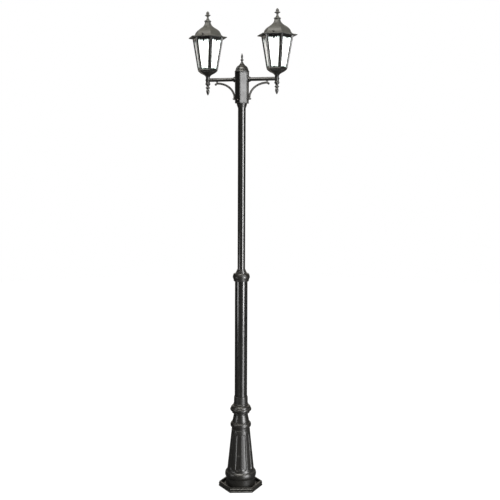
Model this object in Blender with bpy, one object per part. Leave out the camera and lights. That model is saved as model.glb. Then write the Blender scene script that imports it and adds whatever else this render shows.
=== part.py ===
"""Twin-arm lamp post: hexagonal plinth, fluted pedestal with an access door, two-stage tube, swivelling
head with two arms, and two hexagonal lanterns whose roofs hinge open over screw-in bulbs.

Metres, +Z up. The origin is on the ground, on the post's axis. The arms lie along X, and the lanterns' roofs
hinge at +Y.
"""

import math

import bmesh
import bpy
from mathutils import Matrix, Vector
from mathutils.geometry import tessellate_polygon

GAP = 0.0003                        # clearance between pieces that touch
HEX = 6                             # sides of the plinth, the head box and the lanterns
COS_30 = math.cos(math.radians(30))
TAN_30 = math.tan(math.radians(30))
ROUND = 24                          # sides of the round tubes and of the bores that hold them

# Heights above the ground.
PLINTH_FLOOR = 0.012                # recessed floor that the pedestal stands on
PLINTH_TOP = 0.0285
BODY_TOP = 0.4085                   # joint between the pedestal's body and its neck
NECK_TOP = 0.567
COLLAR_BASE = 1.2755
COLLAR_HEIGHT = 0.070
HEAD_BASE = 2.303                   # underside of the head's collar
BOX_BASE = 2.3264
BOX_TOP = 2.506
SET_SCREW_Z = 2.3466
CAP_SCREW_Z = 2.4890
ARM_Z = 2.465
SOCKET_BASE = 2.4375
SOCKET_TOP = 2.482
RIM_Z = 2.5225                      # tray's rim, which carries the lantern's cage
CROWN_Z = 2.7075                    # top of the cage, which carries the roof
HOLDER_BASE = 2.502

# Plan sizes.
PLINTH_RADIUS = 0.1352              # over the corners
FOOT_RADIUS = 0.0893
LOWER_TUBE_RADIUS = 0.038
UPPER_TUBE_RADIUS = 0.0228
TUBE_WALL = 0.0025
BOX_RADIUS_LOW = 0.0417             # head box, over the corners
BOX_RADIUS_HIGH = 0.0430
ARM_RADIUS = 0.0108
ARM_REACH = 0.210                   # post's axis to each lantern's axis
SOCKET_RADIUS = 0.012
CAGE_RADIUS_LOW = 0.0598            # lantern's cage, over the corners
CAGE_RADIUS_HIGH = 0.0928
CAGE_WALL = 0.0024
EAVE_RADIUS = 0.1195

# Angles, counter-clockwise from +X seen from above.
PLINTH_TURN = math.radians(18)      # plinth's corner; the head has been swivelled off the plinth by this
DOOR_ANGLE = math.radians(-102)
SET_SCREW_ANGLE = math.radians(-120)

# Flutes of the pedestal, and the door's opening in them.
FLUTES = 12
FLUTE_DEPTH = 0.003
FLUTE_TOP = 0.340
FLUTE_BOTTOM = 0.120
CONE_TOP = (0.0572, 0.349)
CONE_BOTTOM = (0.0815, 0.1125)
OPENING_BOTTOM = 0.206
OPENING_TOP = 0.3405
OPENING_HALF = 0.030
DOOR_GAP = 0.0005
DOOR_SCREW_Z = 0.230

FOOT_SCREW_CIRCLE = 0.074
ANCHOR_CIRCLE = 0.0995

# Joints' places.
HINGE_Y = 0.112
HINGE_Z = 2.703
LOCK_Y = -0.0905                    # thumb screw that holds each roof down
SIDES = {"left": -1, "right": 1}

BLACK = ((0.028, 0.028, 0.027), 0.38, 0.0)
ZINC = ((0.62, 0.60, 0.56), 0.35, 1.0)
BRASS = ((0.70, 0.52, 0.26), 0.30, 1.0)
OPAL = ((0.93, 0.96, 0.95), 0.35, 0.0)
GLASS = ((0.95, 0.94, 0.88), 0.15, 0.0)
CERAMIC = ((0.85, 0.84, 0.80), 0.25, 0.0)
PLASTIC = ((0.12, 0.12, 0.13), 0.50, 0.0)


# Tools

def clear_scene():
    for item in list(bpy.data.objects):
        bpy.data.objects.remove(item, do_unlink=True)


def make_material(name, look):
    colour, roughness, metallic = look
    material = bpy.data.materials.new(name)
    material.use_nodes = True
    shader = material.node_tree.nodes["Principled BSDF"]
    shader.inputs["Base Color"].default_value = (*colour, 1.0)
    shader.inputs["Roughness"].default_value = roughness
    shader.inputs["Metallic"].default_value = metallic
    return material


def pivot(name, place):
    """An empty on a joint's axis."""
    empty = bpy.data.objects.new(name, None)
    empty.location = place
    empty.empty_display_size = 0.05
    bpy.context.scene.collection.objects.link(empty)
    return empty


def attach(child, parent):
    """Parents child without moving it. Pivots are never turned."""
    child.parent = parent
    child.matrix_parent_inverse = Matrix.Translation(-parent.location)
    return child


def add_object(name, mesh, look, parent=None, place=(0, 0, 0), direction=None, smooth=True):
    """Places a mesh whose axis is +Z, with that axis turned to point along direction."""
    mesh.materials.append(make_material(name, look))
    if smooth:
        mesh.shade_smooth()
        mesh.set_sharp_from_angle(angle=math.radians(35))
    piece = bpy.data.objects.new(name, mesh)
    piece.location = place
    if direction is not None:
        piece.rotation_mode = "QUATERNION"
        piece.rotation_quaternion = Vector(direction).to_track_quat("Z", "Y")
    bpy.context.scene.collection.objects.link(piece)
    if parent is not None:
        attach(piece, parent)
    return piece


def to_mesh(shape, name):
    bmesh.ops.remove_doubles(shape, verts=shape.verts, dist=1e-6)
    bmesh.ops.recalc_face_normals(shape, faces=shape.faces)
    mesh = bpy.data.meshes.new(name)
    shape.to_mesh(mesh)
    shape.free()
    return mesh


def turned_mesh(name, outline, steps, turn=0.0):
    """Spins (radius, height) points about Z: a solid where the outline starts on the axis, else a ring."""
    shape = bmesh.new()
    corners = [shape.verts.new((r * math.cos(turn), r * math.sin(turn), z)) for r, z in outline]
    pairs = list(zip(corners, corners[1:]))
    if outline[0][0] > 0:
        pairs.append((corners[-1], corners[0]))
    edges = [shape.edges.new(pair) for pair in pairs]
    bmesh.ops.spin(
        shape, geom=corners + edges, cent=(0, 0, 0), axis=(0, 0, 1), dvec=(0, 0, 0),
        angle=math.tau, steps=steps, use_merge=True,
    )
    return to_mesh(shape, name)


def turned(name, outline, steps, look, turn=0.0, **placing):
    return add_object(name, turned_mesh(name, outline, steps, turn), look, **placing)


def bead(radius, top, bottom, depth, steps=4):
    """A half-round bead from top down to bottom, standing out from radius by depth."""
    half = (top - bottom) / 2
    turns = [math.pi * i / steps for i in range(steps + 1)]
    return [(radius + depth * math.sin(t), bottom + half + half * math.cos(t)) for t in turns]


def curve(start, end, bulge, steps=4):
    """Points from start to end on a curve that swells to the left of that line by bulge."""
    across, up = end[0] - start[0], end[1] - start[1]
    length = math.hypot(across, up)
    points = []
    for i in range(steps + 1):
        t = i / steps
        swell = 4 * bulge * t * (1 - t) / length
        points.append((start[0] + across * t - up * swell, start[1] + up * t + across * swell))
    return points


def box_mesh(name, low, high):
    shape = bmesh.new()
    bmesh.ops.create_cube(shape, size=1.0)
    low, high = Vector(low), Vector(high)
    bmesh.ops.transform(shape, matrix=Matrix.Diagonal((*(high - low), 1.0)), verts=shape.verts)
    bmesh.ops.translate(shape, vec=(low + high) / 2, verts=shape.verts)
    return to_mesh(shape, name)


def helper(name, mesh, place=(0, 0, 0), direction=None):
    """A cutter or an added shape: it shapes another object, and isn't a piece itself."""
    tool = add_object(name, mesh, BLACK, place=place, direction=direction, smooth=False)
    tool.hide_render = True
    tool.display_type = "WIRE"
    return tool


def shape_by(piece, tool, operation="DIFFERENCE"):
    modifier = piece.modifiers.new(tool.name, "BOOLEAN")
    modifier.operation = operation
    modifier.solver = "EXACT"
    modifier.object = tool


def rods(name, runs, sides=12):
    """One tool of several round bars, each (start, end, radius)."""
    shape = bmesh.new()
    for start, end, radius in runs:
        start, end = Vector(start), Vector(end)
        along = end - start
        spot = Matrix.Translation((start + end) / 2) @ along.to_track_quat("Z", "Y").to_matrix().to_4x4()
        bmesh.ops.create_cone(
            shape, cap_ends=True, segments=sides, radius1=radius, radius2=radius, depth=along.length,
            matrix=spot,
        )
    return helper(name, to_mesh(shape, name))


def polar(radius, angle, z=0.0):
    return Vector((radius * math.cos(angle), radius * math.sin(angle), z))


def upright(circle, angle, low, high, radius):
    """A vertical run for rods."""
    return polar(circle, angle, low), polar(circle, angle, high), radius


def box_face(z):
    """Distance from the axis to a flat of the head box at this height."""
    share = (z - BOX_BASE) / (BOX_TOP - BOX_BASE)
    return COS_30 * (BOX_RADIUS_LOW + share * (BOX_RADIUS_HIGH - BOX_RADIUS_LOW))


def cage_radius(z):
    share = (z - RIM_Z) / (CROWN_Z - RIM_Z)
    return CAGE_RADIUS_LOW + share * (CAGE_RADIUS_HIGH - CAGE_RADIUS_LOW)


def smooth_route(knots, steps):
    """Catmull-Rom points through the knots, steps of them to a span."""
    knots = [Vector(k) for k in knots]
    padded = [2 * knots[0] - knots[1], *knots, 2 * knots[-1] - knots[-2]]
    points = []
    for a, b, c, d in zip(padded, padded[1:], padded[2:], padded[3:]):
        for i in range(steps):
            t = i / steps
            bend = (2 * a - 5 * b + 4 * c - d) * t**2 + (3 * b - a - 3 * c + d) * t**3
            points.append((2 * b + (c - a) * t + bend) / 2)
    return [*points, knots[-1]]


def cable(name, knots, radius, parent=None, steps=3):
    points = smooth_route(knots, steps)
    line = bpy.data.curves.new(name, "CURVE")
    line.dimensions = "3D"
    line.bevel_depth = radius
    line.bevel_resolution = 1
    line.use_fill_caps = True
    spline = line.splines.new("POLY")
    spline.points.add(len(points) - 1)
    for spot, point in zip(spline.points, points):
        spot.co = (*point, 1.0)
    line.materials.append(make_material(name, PLASTIC))
    piece = bpy.data.objects.new(name, line)
    bpy.context.scene.collection.objects.link(piece)
    if parent is not None:
        attach(piece, parent)
    return piece


# Base

def screw_angles():
    return [PLINTH_TURN + math.radians(30 + 120 * i) for i in range(3)]


def make_plinth():
    rim = PLINTH_RADIUS
    outline = [
        (rim, 0), (rim, 0.0060), (rim - 0.0022, 0.0078), (rim - 0.0022, 0.0125), (rim - 0.0010, 0.0145),
        (rim - 0.0010, 0.0200), (rim - 0.0032, 0.0222), (rim - 0.0032, PLINTH_TOP),
        (rim - 0.0130, PLINTH_TOP), (rim - 0.0165, PLINTH_FLOOR), (0.066, PLINTH_FLOOR), (0.066, 0),
    ]
    plinth = turned("base_plinth", outline, HEX, BLACK, turn=PLINTH_TURN)
    sunk = [upright(FOOT_SCREW_CIRCLE, angle, -0.001, 0.0065, 0.0078) for angle in screw_angles()]
    shape_by(plinth, rods("foot_screw_counterbores", sunk))
    holes = [upright(FOOT_SCREW_CIRCLE, angle, 0.004, 0.014, 0.0034) for angle in screw_angles()]
    corners = [PLINTH_TURN + math.radians(60 * i) for i in range(HEX)]
    holes += [upright(ANCHOR_CIRCLE, angle, -0.001, 0.014, 0.006) for angle in corners]
    shape_by(plinth, rods("plinth_holes", holes))


def make_foot_screws():
    outline = [(0, 0.0015), (0.0065, 0.0015), (0.0065, 0.006), (0.003, 0.006), (0.003, 0.0222), (0, 0.0222)]
    for i, angle in enumerate(screw_angles()):
        turned(f"foot_screw_{i + 1}", outline, 12, ZINC, place=polar(FOOT_SCREW_CIRCLE, angle))


def cone_radius(z):
    share = (CONE_TOP[1] - z) / (CONE_TOP[1] - CONE_BOTTOM[1])
    return CONE_TOP[0] + share * (CONE_BOTTOM[0] - CONE_TOP[0])


def pedestal_outline():
    run_out = 0.008
    heights = (FLUTE_TOP, FLUTE_TOP - run_out, FLUTE_BOTTOM + run_out, FLUTE_BOTTOM)
    foot = PLINTH_FLOOR + GAP
    return [
        (0.044, BODY_TOP), (0.056, BODY_TOP),
        *bead(0.0575, 0.4045, 0.3775, 0.0062, steps=3),
        (0.0552, 0.3755), (0.0548, 0.3615),
        *bead(0.0550, 0.3600, 0.3520, 0.0022, steps=2),
        CONE_TOP, *[(cone_radius(z), z) for z in heights], CONE_BOTTOM,
        (0.0840, 0.1065), (0.0882, 0.1005),
        *bead(0.0890, 0.0990, 0.0645, 0.0066),
        (0.0882, 0.0610), (FOOT_RADIUS, foot),
        (0.064, foot), (0.064, 0.024), (0.080, 0.024), (0.080, 0.058), (0.074, 0.105),
        (0.0495, 0.345), (0.047, 0.372), (0.044, 0.380),
    ]


def cut_flutes(mesh):
    """Presses the flutes into the cone. Of every three columns, one is a ridge and two a channel's floor."""
    depths = (0.0, 1.0, 1.0)
    pitch = math.tau / FLUTES
    for corner in mesh.vertices:
        radius = math.hypot(corner.co.x, corner.co.y)
        inside_run = FLUTE_BOTTOM < corner.co.z - 1e-4 and corner.co.z + 1e-4 < FLUTE_TOP
        if not inside_run or radius < cone_radius(corner.co.z) - 0.001:
            continue
        turn = math.atan2(corner.co.y, corner.co.x) - DOOR_ANGLE
        column = round((turn % pitch) / pitch * 3) % 3
        shrink = 1 - FLUTE_DEPTH * depths[column] / radius
        corner.co.x *= shrink
        corner.co.y *= shrink


def make_pedestal(door_pivot):
    mesh = turned_mesh("pedestal_body", pedestal_outline(), 3 * FLUTES, turn=DOOR_ANGLE)
    cut_flutes(mesh)
    body = add_object("pedestal_body", mesh, BLACK)
    turn = Matrix.Rotation(DOOR_ANGLE, 4, "Z")
    low, high = (0.03, -OPENING_HALF, OPENING_BOTTOM), (0.11, OPENING_HALF, OPENING_TOP)
    opening = box_mesh("door_opening", low, high)
    opening.transform(turn)
    shape_by(body, helper("door_opening", opening))
    threads = [upright(FOOT_SCREW_CIRCLE, angle, 0.008, 0.023, 0.0034) for angle in screw_angles()]
    shape_by(body, rods("foot_screw_threads", threads))
    make_door(mesh.copy(), turn, door_pivot)


def make_door(mesh, turn, door_pivot):
    """The door is the piece of wall that fills the opening, less a gap all round."""
    mesh.name = "access_door"
    mesh.materials.clear()
    door = add_object("access_door", mesh, BLACK, parent=door_pivot)
    half = OPENING_HALF - DOOR_GAP
    low = (0.035, -half, OPENING_BOTTOM + DOOR_GAP)
    high = (0.105, half, OPENING_TOP - DOOR_GAP)
    blank = box_mesh("door_blank", low, high)
    blank.transform(turn)
    shape_by(door, helper("door_blank", blank), "INTERSECT")
    axis = polar(1.0, DOOR_ANGLE)
    centre = Vector((0, 0, DOOR_SCREW_Z))
    shape_by(door, rods("door_screw_hole", [(centre + axis * 0.040, centre + axis * 0.090, 0.0036)]))


def make_door_fittings(screw_pivot):
    axis = polar(1.0, DOOR_ANGLE)
    face = cone_radius(DOOR_SCREW_Z - 0.0055) + GAP
    outline = [
        (0, 0.0418), (0.003, 0.0418), (0.003, face), (0.0055, face), (0.0052, face + 0.002),
        (0.003, face + 0.0032), (0, face + 0.0032),
    ]
    turned("door_screw", outline, 12, BLACK, parent=screw_pivot, place=(0, 0, DOOR_SCREW_Z), direction=axis)
    band = box_mesh(
        "door_strap", (0.0425, -0.0392, DOOR_SCREW_Z - 0.006), (0.0455, 0.0392, DOOR_SCREW_Z + 0.006),
    )
    band.transform(Matrix.Rotation(DOOR_ANGLE, 4, "Z"))
    strap = add_object("door_strap", band, ZINC, smooth=False)
    centre = Vector((0, 0, DOOR_SCREW_Z))
    shape_by(strap, rods("strap_hole", [(centre + axis * 0.030, centre + axis * 0.060, 0.0034)]))


def make_gear_plate():
    """An upright strip on an L-shaped foot, behind the door, that carries the terminal block."""
    shape = bmesh.new()
    profile = [
        (-0.044, 0.0245), (-0.044, 0.290), (-0.0465, 0.290), (-0.0465, 0.0275), (-0.0755, 0.0275),
        (-0.0755, 0.0245),
    ]
    face = shape.faces.new([shape.verts.new((x, -0.022, z)) for x, z in profile])
    grown = bmesh.ops.extrude_face_region(shape, geom=[face])["geom"]
    moved = [item for item in grown if isinstance(item, bmesh.types.BMVert)]
    bmesh.ops.translate(shape, verts=moved, vec=(0, 0.044, 0))
    mesh = to_mesh(shape, "gear_plate")
    mesh.transform(Matrix.Rotation(DOOR_ANGLE, 4, "Z"))
    add_object("gear_plate", mesh, ZINC, smooth=False)


def make_terminal_block():
    mesh = box_mesh("terminal_block", (-0.0437, -0.017, 0.215), (-0.022, 0.017, 0.275))
    mesh.transform(Matrix.Rotation(DOOR_ANGLE, 4, "Z"))
    block = add_object("terminal_block", mesh, PLASTIC, smooth=False)
    edge = block.modifiers.new("edge", "BEVEL")
    edge.width = 0.0015
    edge.segments = 1


# Post

def make_neck():
    outline = [
        (LOWER_TUBE_RADIUS + GAP, NECK_TOP), (0.0412, NECK_TOP), (0.0418, NECK_TOP - 0.002),
        (0.0426, 0.523),
        *bead(0.0440, 0.5215, 0.5135, 0.0028, steps=2),
        *curve((0.0465, 0.5110), (0.0605, 0.5000), 0.0028, steps=2),
        *bead(0.0605, 0.4945, 0.4800, 0.0045, steps=3),
        (0.0575, 0.4760),
        *bead(0.0515, 0.4745, 0.4650, 0.0024, steps=2),
        (0.0445, 0.4600), (0.0428, 0.4560), (0.0452, 0.4440), (0.0480, 0.4310),
        (0.0516, BODY_TOP + GAP), (0.0435, BODY_TOP + GAP), (0.0435, 0.386),
        (0.0335, 0.386), (0.0335, 0.4315), (LOWER_TUBE_RADIUS + GAP, 0.4315),
    ]
    neck = turned("pedestal_neck", outline, ROUND, BLACK)
    shape_by(neck, rods("neck_screw_hole", [((0, 0.030, 0.545), (0, 0.050, 0.545), 0.0027)]))
    screw = [(0, 0.0384), (0.0025, 0.0384), (0.0025, 0.0432), (0, 0.0432)]
    turned("neck_set_screw", screw, 10, ZINC, place=(0, 0, 0.545), direction=(0, 1, 0))


def make_tube(name, radius, bottom, top):
    outline = [(radius, top), (radius, bottom), (radius - TUBE_WALL, bottom), (radius - TUBE_WALL, top)]
    turned(name, outline, ROUND, BLACK)


def make_mid_collar():
    top = COLLAR_HEIGHT
    outline = [
        (UPPER_TUBE_RADIUS + GAP, top), (0.0260, top), (0.0272, top - 0.0035), (0.0276, top - 0.0085),
        (0.0308, top - 0.0105), (0.0312, top - 0.0160), (0.0342, top - 0.0180), (0.0346, top - 0.0225),
        (0.0455, top - 0.0240),
        (0.0468, top - 0.0260), (0.0496, top - 0.0345),
        *curve((0.0514, top - 0.0430), (0.0480, top - 0.0545), 0.0012, steps=2),
        (0.0462, top - 0.0580), (0.0452, 0.0015), (0.0440, 0),
        (LOWER_TUBE_RADIUS + GAP, 0), (LOWER_TUBE_RADIUS + GAP, 0.0230), (0.0348, 0.0230),
        (0.0348, -0.0355), (0.0175, -0.0355), (0.0175, -0.0303), (UPPER_TUBE_RADIUS + GAP, -0.0303),
    ]
    collar = turned("mid_collar", outline, ROUND, BLACK, place=(0, 0, COLLAR_BASE))
    level = COLLAR_BASE + top - 0.006
    shape_by(collar, rods("collar_screw_hole", [((0, 0.020, level), (0, 0.030, level), 0.0023)]))
    screw = [(0, 0.0233), (0.0021, 0.0233), (0.0021, 0.0285), (0, 0.0285)]
    turned("collar_set_screw", screw, 10, ZINC, place=(0, 0, level), direction=(0, 1, 0))


def make_post():
    make_neck()
    make_tube("lower_tube", LOWER_TUBE_RADIUS, 0.4318, 1.2980)
    make_mid_collar()
    make_tube("upper_tube", UPPER_TUBE_RADIUS, 1.2455, 2.3450)
    back = -polar(0.033, DOOR_ANGLE)
    knots = [back + Vector((0, 0, 0.2755)), back + Vector((0, 0, 0.315)), (0, 0, 0.415), (0, 0, 0.47)]
    points = [*knots, (0, 0, 1.4), (0, 0, 2.357)]
    cable("pole_cable", points, 0.0045)


# Head

def make_head_collar(head):
    outline = [
        (UPPER_TUBE_RADIUS + GAP, 0), (0.0251, 0), (0.0257, 0.0055), (0.0282, 0.0085), (0.0286, 0.0130),
        (0.0300, 0.0160), (0.0302, 0.0231), (0.0265, 0.0231), (0.0265, 0.0572),
        (UPPER_TUBE_RADIUS + GAP, 0.0572),
    ]
    collar = turned("head_collar", outline, ROUND, BLACK, parent=head, place=(0, 0, HEAD_BASE))
    shape_by(collar, bpy.data.objects["head_holes"])


def make_head_holes():
    """Bores through the head box: the arms' wires, the set screws and the cap's screws."""
    screw = polar(1.0, SET_SCREW_ANGLE)
    level = Vector((0, 0, SET_SCREW_Z))
    rods("head_holes", [
        ((-0.06, 0, ARM_Z), (0.06, 0, ARM_Z), 0.009),
        (level - screw * 0.06, level + screw * 0.06, 0.0033),
        ((-0.06, 0, CAP_SCREW_Z), (0.06, 0, CAP_SCREW_Z), 0.0022),
    ])


def make_head_box(head):
    height = BOX_TOP - BOX_BASE
    outline = [
        (BOX_RADIUS_LOW, 0), (BOX_RADIUS_HIGH, height), (0.0392, height), (0.0379, 0.004), (0.0312, 0.004),
        (0.0312, 0),
    ]
    mesh = turned_mesh("head_box", outline, HEX, turn=math.radians(30))
    frame_panels(mesh)
    box = add_object("head_box", mesh, BLACK, parent=head, place=(0, 0, BOX_BASE), smooth=False)
    shape_by(box, bpy.data.objects["head_holes"])


def frame_panels(mesh):
    """Sinks a panel into each outer face that carries no arm."""
    shape = bmesh.new()
    shape.from_mesh(mesh)
    walls = []
    for face in shape.faces:
        middle = face.calc_center_median()
        outward = face.normal.x * middle.x + face.normal.y * middle.y
        if outward > 0.02 and abs(face.normal.x) < 0.9 and face.calc_area() > 0.004:
            walls.append(face)
    bmesh.ops.inset_individual(shape, faces=walls, thickness=0.0050, depth=-0.0012)
    shape.to_mesh(mesh)
    shape.free()


def make_head_cap(head):
    outline = [
        (0.0300, -0.026), (0.0330, -0.026), (0.0330, GAP), (0.0422, GAP), (0.0430, 0.0030),
        (0.0418, 0.0065), (0.0388, 0.0085), (0.0384, 0.0125), (0.0368, 0.0150),
        *curve((0.0366, 0.0160), (0.0225, 0.0370), -0.0042, steps=3),
        *curve((0.0190, 0.0400), (0.0085, 0.0540), 0.0018, steps=2),
        (0.0043, 0.0540), (0.0043, 0.0490),
        *curve((0.0170, 0.0340), (0.0300, 0.0160), 0.0030, steps=2),
    ]
    cap = turned("head_cap", outline, 20, BLACK, parent=head, place=(0, 0, BOX_TOP))
    shape_by(cap, bpy.data.objects["head_holes"])
    spear = [
        (0, -0.010), (0.004, -0.010), (0.004, 0), (0.0075, 0), (0.0055, 0.004), (0.0055, 0.010),
        (0.0103, 0.0135), (0.0103, 0.0185), (0.0048, 0.0225), (0.0062, 0.030), (0.0056, 0.042),
        (0.0025, 0.052), (0, 0.0547),
    ]
    turned("head_finial", spear, 14, BLACK, parent=head, place=(0, 0, BOX_TOP + 0.0540 + GAP))


def make_head_screws(head):
    outline = [(0, 0.0233), (0.003, 0.0233), (0.003, 0.0376), (0, 0.0376)]
    for name, turn in (("front", 0.0), ("rear", math.pi)):
        axis = polar(1.0, SET_SCREW_ANGLE + turn)
        turned(
            f"head_set_screw_{name}", outline, 12, ZINC, parent=head, place=(0, 0, SET_SCREW_Z),
            direction=axis,
        )
    face = box_face(CAP_SCREW_Z) + GAP
    outline = [
        (0, 0.0305), (0.0019, 0.0305), (0.0019, face), (0.0036, face), (0.0033, face + 0.002),
        (0, face + 0.0028),
    ]
    for side, sign in SIDES.items():
        turned(
            f"cap_screw_{side}", outline, 10, BLACK, parent=head, place=(0, 0, CAP_SCREW_Z),
            direction=(sign, 0, 0),
        )


def make_connector(head):
    """Terminal strip that lies across the collar's rim, where the post's cable meets the arms' leads."""
    base = HEAD_BASE + 0.0572 + GAP
    mesh = box_mesh("cable_connector", (-0.027, -0.007, base), (0.027, 0.007, base + 0.017))
    add_object("cable_connector", mesh, CERAMIC, parent=head, smooth=False)


# Arms

def make_arm(side, sign, head):
    start = box_face(ARM_Z) + GAP
    outline = [
        (0.0090, start), (0.0150, start), (0.0153, start + 0.0030), (0.0160, start + 0.0045),
        (0.0160, start + 0.0090), (0.0146, start + 0.0105), (0.0144, start + 0.0135),
        (ARM_RADIUS, start + 0.0150), (ARM_RADIUS, ARM_REACH - 0.005), (0.0090, ARM_REACH - 0.005),
    ]
    axis = (sign, 0, 0)
    arm = turned(f"arm_{side}", outline, 14, BLACK, parent=head, place=(0, 0, ARM_Z), direction=axis)
    end = sign * ARM_REACH
    cope = [((end, 0, ARM_Z - 0.02), (end, 0, ARM_Z + 0.02), SOCKET_RADIUS + 0.0006)]
    shape_by(arm, rods(f"arm_end_{side}", cope, sides=24))


def bracket_path(sign, steps):
    """Up from the foot on the head box, then a quarter of an ellipse to level under the arm."""
    across, up = 0.1065, 0.086
    points = [Vector((sign * 0.0455, 0, z)) for z in (2.3475, 2.3527)]
    for i in range(steps + 1):
        turn = math.radians(180 - 90 * i / steps)
        x = 0.152 + across * math.cos(turn)
        points.append(Vector((sign * x, 0, 2.358 + up * math.sin(turn))))
    return points


def twisted_bar(name, path, sign):
    """A four-lobed bar whose section turns steadily along the path."""
    sides = 8
    twist = math.radians(28)
    shape = bmesh.new()
    rings = []
    for i, point in enumerate(path):
        ahead = path[min(i + 1, len(path) - 1)] - path[max(i - 1, 0)]
        across = Vector((0, 1, 0))
        up = ahead.normalized().cross(across)
        ring = []
        for k in range(sides):
            turn = math.tau * k / sides + sign * twist * i
            reach = 0.0066 if k % 2 else 0.0054
            ring.append(shape.verts.new(point + reach * (math.cos(turn) * across + math.sin(turn) * up)))
        rings.append(ring)
    for first, second in zip(rings, rings[1:]):
        for k in range(sides):
            following = (k + 1) % sides
            shape.faces.new((first[k], first[following], second[following], second[k]))
    shape.faces.new(rings[0])
    shape.faces.new(rings[-1])
    return to_mesh(shape, name)


def ball(name, place, radius):
    shape = bmesh.new()
    bmesh.ops.create_icosphere(shape, subdivisions=1, radius=radius, matrix=Matrix.Translation(place))
    return helper(name, to_mesh(shape, name))


def make_bracket(side, sign, head):
    name = f"bracket_{side}"
    bar = add_object(name, twisted_bar(name, bracket_path(sign, 26), sign), BLACK, parent=head)
    near = sign * (box_face(2.380) + GAP)
    far = sign * 0.0425
    plate = box_mesh(f"{name}_foot", (min(near, far), -0.006, 2.346), (max(near, far), 0.006, 2.380))
    shape_by(bar, helper(f"{name}_foot", plate), "UNION")
    top = ARM_Z - ARM_RADIUS - GAP
    stub = rods(f"{name}_stub", [((sign * 0.1525, 0, 2.4430), (sign * 0.1525, 0, top), 0.0046)])
    shape_by(bar, stub, "UNION")
    shape_by(bar, ball(f"{name}_ball", (sign * 0.1600, 0, 2.4385), 0.0068), "UNION")
    shape_by(bar, ball(f"{name}_toe", (sign * 0.0520, 0, 2.3530), 0.0048), "UNION")


def make_socket(side, sign, head):
    place = (sign * ARM_REACH, 0, SOCKET_BASE)
    height = SOCKET_TOP - SOCKET_BASE
    outline = [
        (0.0045, 0), (0.0118, 0), (0.0148, 0.0020), (0.0150, 0.0075), (0.0125, 0.0100),
        (SOCKET_RADIUS, 0.0115), (SOCKET_RADIUS, height), (0.0054, height), (0.0054, 0.037),
        (0.0078, 0.037), (0.0078, 0.0185), (0.0045, 0.0185),
    ]
    socket = turned(f"socket_{side}", outline, 16, BLACK, parent=head, place=place)
    reach = sign * ARM_REACH
    lead_hole = [((reach, 0, ARM_Z), (reach - sign * 0.016, 0, ARM_Z), 0.0055)]
    screw_hole = [((reach + sign * 0.002, 0, ARM_Z), (reach + sign * 0.016, 0, ARM_Z), 0.0022)]
    shape_by(socket, rods(f"socket_lead_hole_{side}", lead_hole))
    shape_by(socket, rods(f"socket_screw_hole_{side}", screw_hole))
    screw = [
        (0, 0.0095), (0.0019, 0.0095), (0.0019, 0.0123), (0.0038, 0.0123), (0.0034, 0.0145), (0, 0.0152),
    ]
    turned(
        f"socket_screw_{side}", screw, 10, BLACK, parent=head, place=(reach, 0, ARM_Z),
        direction=(sign, 0, 0),
    )
    drop = [
        (0, 0.0150), (0.0040, 0.0150), (0.0040, -GAP), (0.0118, -GAP), (0.0116, -0.0025), (0.0080, -0.0050),
        (0.0080, -0.0115), (0.0128, -0.0150), (0.0132, -0.0178), (0.0124, -0.0206), (0.0074, -0.0240),
        (0.0098, -0.0335), (0.0096, -0.0410), (0.0074, -0.0500), (0.0030, -0.0595), (0, -0.0625),
    ]
    turned(f"pendant_{side}", drop, 10, BLACK, parent=head, place=place)


# Lanterns

def make_tray(side, place, head):
    outline = [
        (0.0603, 0), (0.0608, -0.0035), (0.0592, -0.0070), (0.0530, -0.0120), (0.0430, -0.0195),
        (0.0300, -0.0255), (0.0205, -0.0310), (0.0136, -0.0385), (0.0136, -0.0402),
        (0.0064, -0.0402), (0.0064, -0.0265), (0.0260, -0.0215), (0.0400, -0.0155), (0.0490, -0.0095),
        (0.0518, -0.0060), (0.0518, 0),
    ]
    turned(f"lantern_tray_{side}", outline, HEX, BLACK, parent=head, place=(*place, RIM_Z), smooth=False)


def window_outline():
    """One side's window as (share of the half-width, height), counter-clockwise from its lower left."""
    lower = fringe(RIM_Z + 0.0045, 0.0056, 0.0092)
    upper = fringe(CROWN_Z - 0.0130, -0.0080, -0.0152)
    return lower + upper[::-1]


def fringe(edge, tooth, middle):
    """A cusped edge: a small tooth on each side of a tall one."""
    outer, side, inner = edge + 0.06 * tooth, edge + tooth, edge + 0.18 * tooth
    return [
        (-1, edge), (-0.68, outer), (-0.46, side), (-0.24, inner), (0, edge + middle),
        (0.24, inner), (0.46, side), (0.68, outer), (1, edge),
    ]


def cage_point(side_number, across, z, inset):
    """A point of the cage's wall: across is measured from the side's middle, and inset in from its face."""
    flat = cage_radius(z) * COS_30 - inset
    angle = math.radians(30 + 60 * side_number)
    return Vector((
        flat * math.cos(angle) - across * math.sin(angle),
        flat * math.sin(angle) + across * math.cos(angle),
        z,
    ))


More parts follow.
